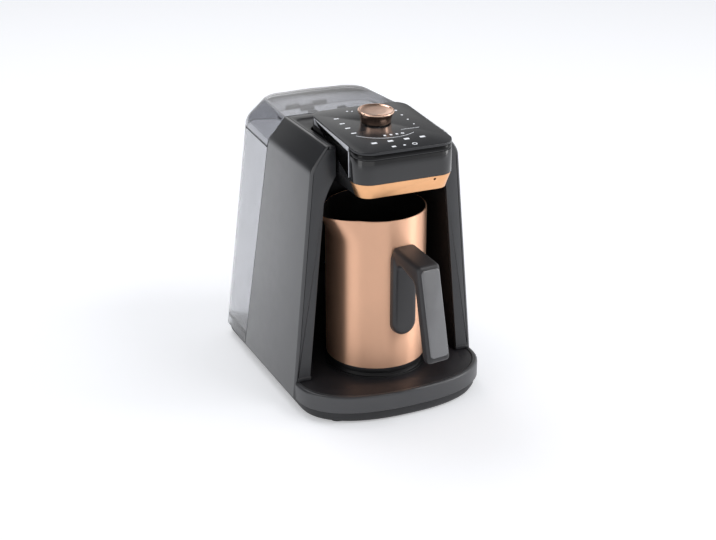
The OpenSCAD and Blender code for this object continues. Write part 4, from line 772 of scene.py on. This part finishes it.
def handle_outline():
    """Side view of the bar and the grip: distance from the pot's middle line, height."""
    foot_r, knee_r, crook_r = 5, 8, 7
    foot, corner = GRIP_FOOT_Z + foot_r, BAR_CORNER_R
    toe = grip_out(foot)
    heel = toe - GRIP_DEPTH
    knee_z = GRIP_TOP_Z - BAR_H - knee_r
    knee = grip_out(knee_z) - GRIP_DEPTH
    crook = (POT_R + PAD_T + crook_r, BAR_TOP_Z - BAR_H - crook_r)
    bar_end = (GRIP_TOP_R - corner, GRIP_TOP_Z - corner)
    return ([(POT_R - 1, BAR_TOP_Z)] + arc(bar_end, corner, 86, 14, 8)
            + arc((toe - foot_r, foot), foot_r, -10, -90, 6)
            + arc((heel + foot_r, foot), foot_r, -90, -170, 6)
            + arc((knee - knee_r, knee_z), knee_r, 0, 90, 8) + arc(crook, crook_r, 90, 180, 8)
            + [(crook[0] - crook_r, crook[1] - 6), (POT_R - 1, crook[1] - 6)])


def capsule(inset):
    """The pad's outline."""
    r = PAD_W / 2 - inset
    up = PAD_H / 2 - PAD_W / 2
    return arc((0, up), r, 0, 180, 16) + arc((0, -up), r, 180, 360, 16)


def facing_out(r, z, lean=0.0):
    """A frame on the handle's side of the pot: x across, y up, z away from the middle line."""
    return POT_PLACE @ Matrix.Translation((0, -r, z)) @ Matrix.Rotation(math.pi / 2 + lean, 4, "X")


def baked(obj):
    """A draft's vertices in millimetres and its faces, as its modifiers leave them. It removes the draft."""
    depsgraph = bpy.context.evaluated_depsgraph_get()
    mesh = bpy.data.meshes.new_from_object(obj.evaluated_get(depsgraph))
    bpy.data.objects.remove(obj)
    return [v.co / MM for v in mesh.vertices], [tuple(p.vertices) for p in mesh.polygons]


def handle():
    """Pad, bar and grip as one soft moulding, clear of the pot's wall."""
    outline = handle_outline()
    rows = [[(x, -r, z) for r, z in outline] for x in (-HANDLE_W / 2, HANDLE_W / 2)]
    draft = new_object("bar_draft", moved(grid(rows, cap_rows=True), POT_PLACE), [])
    bevel = draft.modifiers.new("bevel", "BEVEL")
    bevel.width = HANDLE_EDGE_R * MM
    bevel.segments = 5
    bevel.limit_method = "ANGLE"
    bevel.angle_limit = math.radians(50)
    bar = baked(draft)
    pad = moved(slab(capsule, -3, PAD_T, 0, 3.2), facing_out(POT_R, PAD_TOP_Z - PAD_H / 2))
    draft = new_object("handle_draft", merged(bar, pad), [])
    remesh = draft.modifiers.new("remesh", "REMESH")
    remesh.mode = "VOXEL"
    remesh.voxel_size = HANDLE_VOXEL * MM
    relax = draft.modifiers.new("relax", "SMOOTH")
    relax.factor = 0.5
    relax.iterations = 8
    verts, faces = baked(draft)
    wall = POT_R + 0.05
    for v in verts:
        away = Vector((v.x, v.y - POT_Y))
        if away.length < wall:
            away *= wall / away.length
            v.x, v.y = away.x, away.y + POT_Y
    piece("handle_grip", ([tuple(v) for v in verts], faces), "pot", "handle_charcoal", "pot_handle")


def insert():
    """The lighter plate let into the grip's outer face."""
    top, foot = INSERT_TOP_Z, INSERT_FOOT_Z
    lean = math.atan((GRIP_FOOT_R - GRIP_TOP_R) / GRIP_H)
    long = (top - foot) / math.cos(lean)

    def outline(inset):
        w, h = INSERT_W / 2 - inset, long / 2 - inset
        return rounded_rect((-w, -h), (w, h), INSERT_CORNER_R - inset, 6)

    middle = (top + foot) / 2
    part = moved(slab(outline, -1.8, 0.45, 0, 0.9), facing_out(grip_out(middle), middle, -lean))
    piece("grip_plate", part, "pot", "insert_grey", "handle_insert")


# ---------------------------------------------------------------- knob


def knob():
    """The dial: a skirt that flares out from a narrow foot, a rim and a sunk, turned face."""
    r, h = KNOB_R, KNOB_H
    profile = [(0.05, 9.2), (r - 3.6, 9.2), (r - 3.6, 0.7), (r - 2.9, 0.7), (r - 2.6, 0.9), (r - 2.5, 2.2),
               (r - 2.3, 3.6), (r - 2, 5.2), (r - 1.5, 6.6), (r - 0.9, 7.9), (r - 0.45, 8.6),
               (r - 0.12, 9.1), (r, 9.5), (r, 10.1), (r - 0.12, 10.55), (r - 0.4, 10.82), (r - 0.8, h),
               (r - 1.5, h), (r - 1.9, 10.75), (r - 2.2, 10.45), (r - 2.5, 10.3), (8, 10.1), (4, 9.95),
               (0.05, 9.9)]
    place = (Matrix.Translation((0, HEAD_FRONT_Y, PANEL_FRONT_Z)) @ Matrix.Rotation(TILT, 4, "X")
             @ Matrix.Translation((0, (KNOB_Y - HEAD_FRONT_Y) / math.cos(TILT), 0)))
    piece("dial_cap", moved(lathe(profile, 128), place), "knob", "knob_copper", "knob_cap")


# ---------------------------------------------------------------- springs


def spring(joint, held, body, wire, turns=4, steps=24):
    """A coiled wire that fills a spring node's box."""
    node, fixed = held["node"], held["fixed_end_z_m"] / MM
    lo, hi = low(node), high(node)
    r, y = (hi.x - lo.x) / 2 - wire, (lo.y + hi.y) / 2
    foot, top = lo.z + wire, hi.z - wire
    section = arc((0, 0), 1, 0, 315, 7)
    rows = []
    for i in range(turns * steps + 1):
        a = 2 * math.pi * i / steps
        out = Vector((math.cos(a), math.sin(a), 0))
        centre = Vector((0, y, foot + (top - foot) * i / (turns * steps))) + r * out
        rows.append([tuple(centre + wire * (c * out + Vector((0, 0, d)))) for c, d in section])
    obj = piece(node + "_wire", grid(rows, cap_rows=True), body, "spring_steel", node)
    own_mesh(obj)


def springs():
    """Both springs. wires holds the body that each rides on and its wire's radius."""
    wires = {"valve_spring": ("tank", 0.45), "sensor_spring": ("housing", 0.4)}
    for joint in frame["record"]["behaviour"]["joints"]:
        for held in joint.get("deforming_nodes", []):
            spring(joint, held, *wires[held["node"]])


# ---------------------------------------------------------------- studio


# each softbox: place, width and height in metres, power in watts
SOFTBOXES = {
    "back_softbox": ((-0.25, 1.0, 1.9), (1.1, 0.9), 11),
    "right_softbox": ((1.77, -0.9, 0.65), (0.7, 1.2), 9),
    "left_softbox": ((-1.9, -0.5, 0.6), (0.9, 1.2), 4),
    "top_softbox": ((0.95, -1.0, 1.85), (1.1, 0.6), 10),
}
MIDDLE = (0, 0, 0.12)  # what they point at

# how bright the studio looks in gloss, by azimuth in degrees from the front towards the right
ROOM = ((-90, 0.4), (-76, 0.5), (-66, 0.8), (8, 0.85), (13, 0.45), (28, 0.45), (36, 1), (125, 1), (147, 0.3),
        (153, 0.45), (159, 1), (166, 1), (200, 0.05), (255, 0.05), (270, 0.4))
OVERHEAD = (0.4, 0.8, 0.15)  # up from which it darkens, up to which, and what is left of it there
FILL = 0.45
FLOOR_GLOW = 0.34
FLOOR_HALF = 6
FLOOR_Z = -0.0002

# the photograph's camera: millimetres, metres and degrees
SENSOR_W, LENS = 36, 71.826
CAMERA_PLACE = (-0.49314, -1.07513, 0.59526)
CAMERA_TURN, CAMERA_RISE = -24.5367, 22.8518


def lamp(name, place, size, power):
    data = bpy.data.lights.new(name, "AREA")
    data.shape = "RECTANGLE"
    data.size, data.size_y = size
    data.energy = power
    obj = bpy.data.objects.new(name, data)
    bpy.context.scene.collection.objects.link(obj)
    obj.location = place
    obj.rotation_euler = (Vector(MIDDLE) - obj.location).to_track_quat("-Z", "Y").to_euler()


def seen_ray(nodes, links):
    """1 for rays that show the background: camera, glossy and transmission rays."""
    path = nodes.new("ShaderNodeLightPath")
    total = path.outputs["Is Camera Ray"]
    for name in ("Is Glossy Ray", "Is Transmission Ray"):
        larger = nodes.new("ShaderNodeMath")
        larger.operation = "MAXIMUM"
        links.new(total, larger.inputs[0])
        links.new(path.outputs[name], larger.inputs[1])
        total = larger.outputs[0]
    return total


def room_gloss(nodes, links):
    """Colour of the room in a reflection: softboxes and gaps by azimuth, darker overhead."""
    coords, split = nodes.new("ShaderNodeTexCoord"), nodes.new("ShaderNodeSeparateXYZ")
    turn, span = nodes.new("ShaderNodeMath"), nodes.new("ShaderNodeMapRange")
    turn.operation = "ARCTAN2"
    span.inputs["From Min"].default_value = -math.pi
    span.inputs["From Max"].default_value = math.pi
    ramp = nodes.new("ShaderNodeValToRGB")
    stops = ramp.color_ramp.elements
    for azimuth, level in ROOM[1:-1]:
        stops.new((azimuth + 90) / 360).color = (level, level, level, 1)
    for end in (0, -1):
        level = ROOM[end][1]
        stops[end].color = (level, level, level, 1)
    height, dim = nodes.new("ShaderNodeMapRange"), nodes.new("ShaderNodeVectorMath")
    height.inputs["From Min"].default_value = OVERHEAD[0]
    height.inputs["From Max"].default_value = OVERHEAD[1]
    height.inputs["To Min"].default_value = 1
    height.inputs["To Max"].default_value = OVERHEAD[2]
    dim.operation = "SCALE"
    links.new(coords.outputs["Generated"], split.inputs[0])
    links.new(split.outputs["Y"], turn.inputs[0])
    links.new(split.outputs["X"], turn.inputs[1])
    links.new(turn.outputs[0], span.inputs["Value"])
    links.new(span.outputs[0], ramp.inputs[0])
    links.new(split.outputs["Z"], height.inputs["Value"])
    links.new(ramp.outputs[0], dim.inputs[0])
    links.new(height.outputs[0], dim.inputs["Scale"])
    return dim.outputs[0]


def world():
    scene = bpy.context.scene
    scene.world = bpy.data.worlds.new("studio")
    scene.world.use_nodes = True
    nodes, links = scene.world.node_tree.nodes, scene.world.node_tree.links
    nodes.clear()
    fill, white = nodes.new("ShaderNodeBackground"), nodes.new("ShaderNodeBackground")
    fill.inputs["Color"].default_value = (0.95, 0.965, 1, 1)
    fill.inputs["Strength"].default_value = FILL
    white.inputs["Strength"].default_value = 1
    path, tint = nodes.new("ShaderNodeLightPath"), nodes.new("ShaderNodeMix")
    tint.data_type = "RGBA"
    tint.inputs["A"].default_value = (1, 1, 1, 1)
    links.new(path.outputs["Is Glossy Ray"], tint.inputs["Factor"])
    links.new(room_gloss(nodes, links), tint.inputs["B"])
    links.new(tint.outputs["Result"], white.inputs["Color"])
    mix, out = nodes.new("ShaderNodeMixShader"), nodes.new("ShaderNodeOutputWorld")
    links.new(seen_ray(nodes, links), mix.inputs[0])
    links.new(fill.outputs[0], mix.inputs[1])
    links.new(white.outputs[0], mix.inputs[2])
    links.new(mix.outputs[0], out.inputs[0])


def floor():
    """A pale floor that takes the object's shadow and meets the white background."""
    material = bpy.data.materials.new("floor_paper")
    material.use_nodes = True
    nodes, links = material.node_tree.nodes, material.node_tree.links
    shader = nodes["Principled BSDF"]
    shader.inputs["Base Color"].default_value = (0.86, 0.87, 0.9, 1)
    shader.inputs["Roughness"].default_value = 0.9
    shader.inputs["Specular IOR Level"].default_value = 0.1
    shader.inputs["Emission Color"].default_value = (1, 1, 1, 1)
    glow = nodes.new("ShaderNodeMath")
    glow.operation = "MULTIPLY"
    glow.inputs[1].default_value = FLOOR_GLOW
    links.new(seen_ray(nodes, links), glow.inputs[0])
    links.new(glow.outputs[0], shader.inputs["Emission Strength"])
    mesh = bpy.data.meshes.new("floor")
    corners = [(x * FLOOR_HALF, y * FLOOR_HALF, 0) for x, y in ((-1, -1), (1, -1), (1, 1), (-1, 1))]
    mesh.from_pydata(corners, [], [(0, 1, 2, 3)])
    mesh.materials.append(material)
    obj = bpy.data.objects.new("floor", mesh)
    bpy.context.scene.collection.objects.link(obj)
    obj.location.z = FLOOR_Z


def camera():
    data = bpy.data.cameras.new("camera")
    data.sensor_width = SENSOR_W
    data.lens = LENS
    obj = bpy.data.objects.new("camera", data)
    bpy.context.scene.collection.objects.link(obj)
    turn, rise = math.radians(CAMERA_TURN), math.radians(CAMERA_RISE)
    back = Vector((math.sin(turn) * math.cos(rise), -math.cos(turn) * math.cos(rise), math.sin(rise)))
    obj.location = CAMERA_PLACE
    obj.rotation_euler = (-back).to_track_quat("-Z", "Y").to_euler()
    bpy.context.scene.camera = obj


def studio():
    bpy.context.scene.view_settings.view_transform = "Standard"
    for name, values in SOFTBOXES.items():
        lamp(name, *values)
    world()
    floor()


# ---------------------------------------------------------------- the scene

camera()
LOOKS = make_looks()
dress_nodes()
side_panels()
tray()
fascia()
tank()
lid()
pot()
handle()
insert()
knob()
springs()
for name, width in SOFT_EDGES.items():
    soften(name, width)
studio()
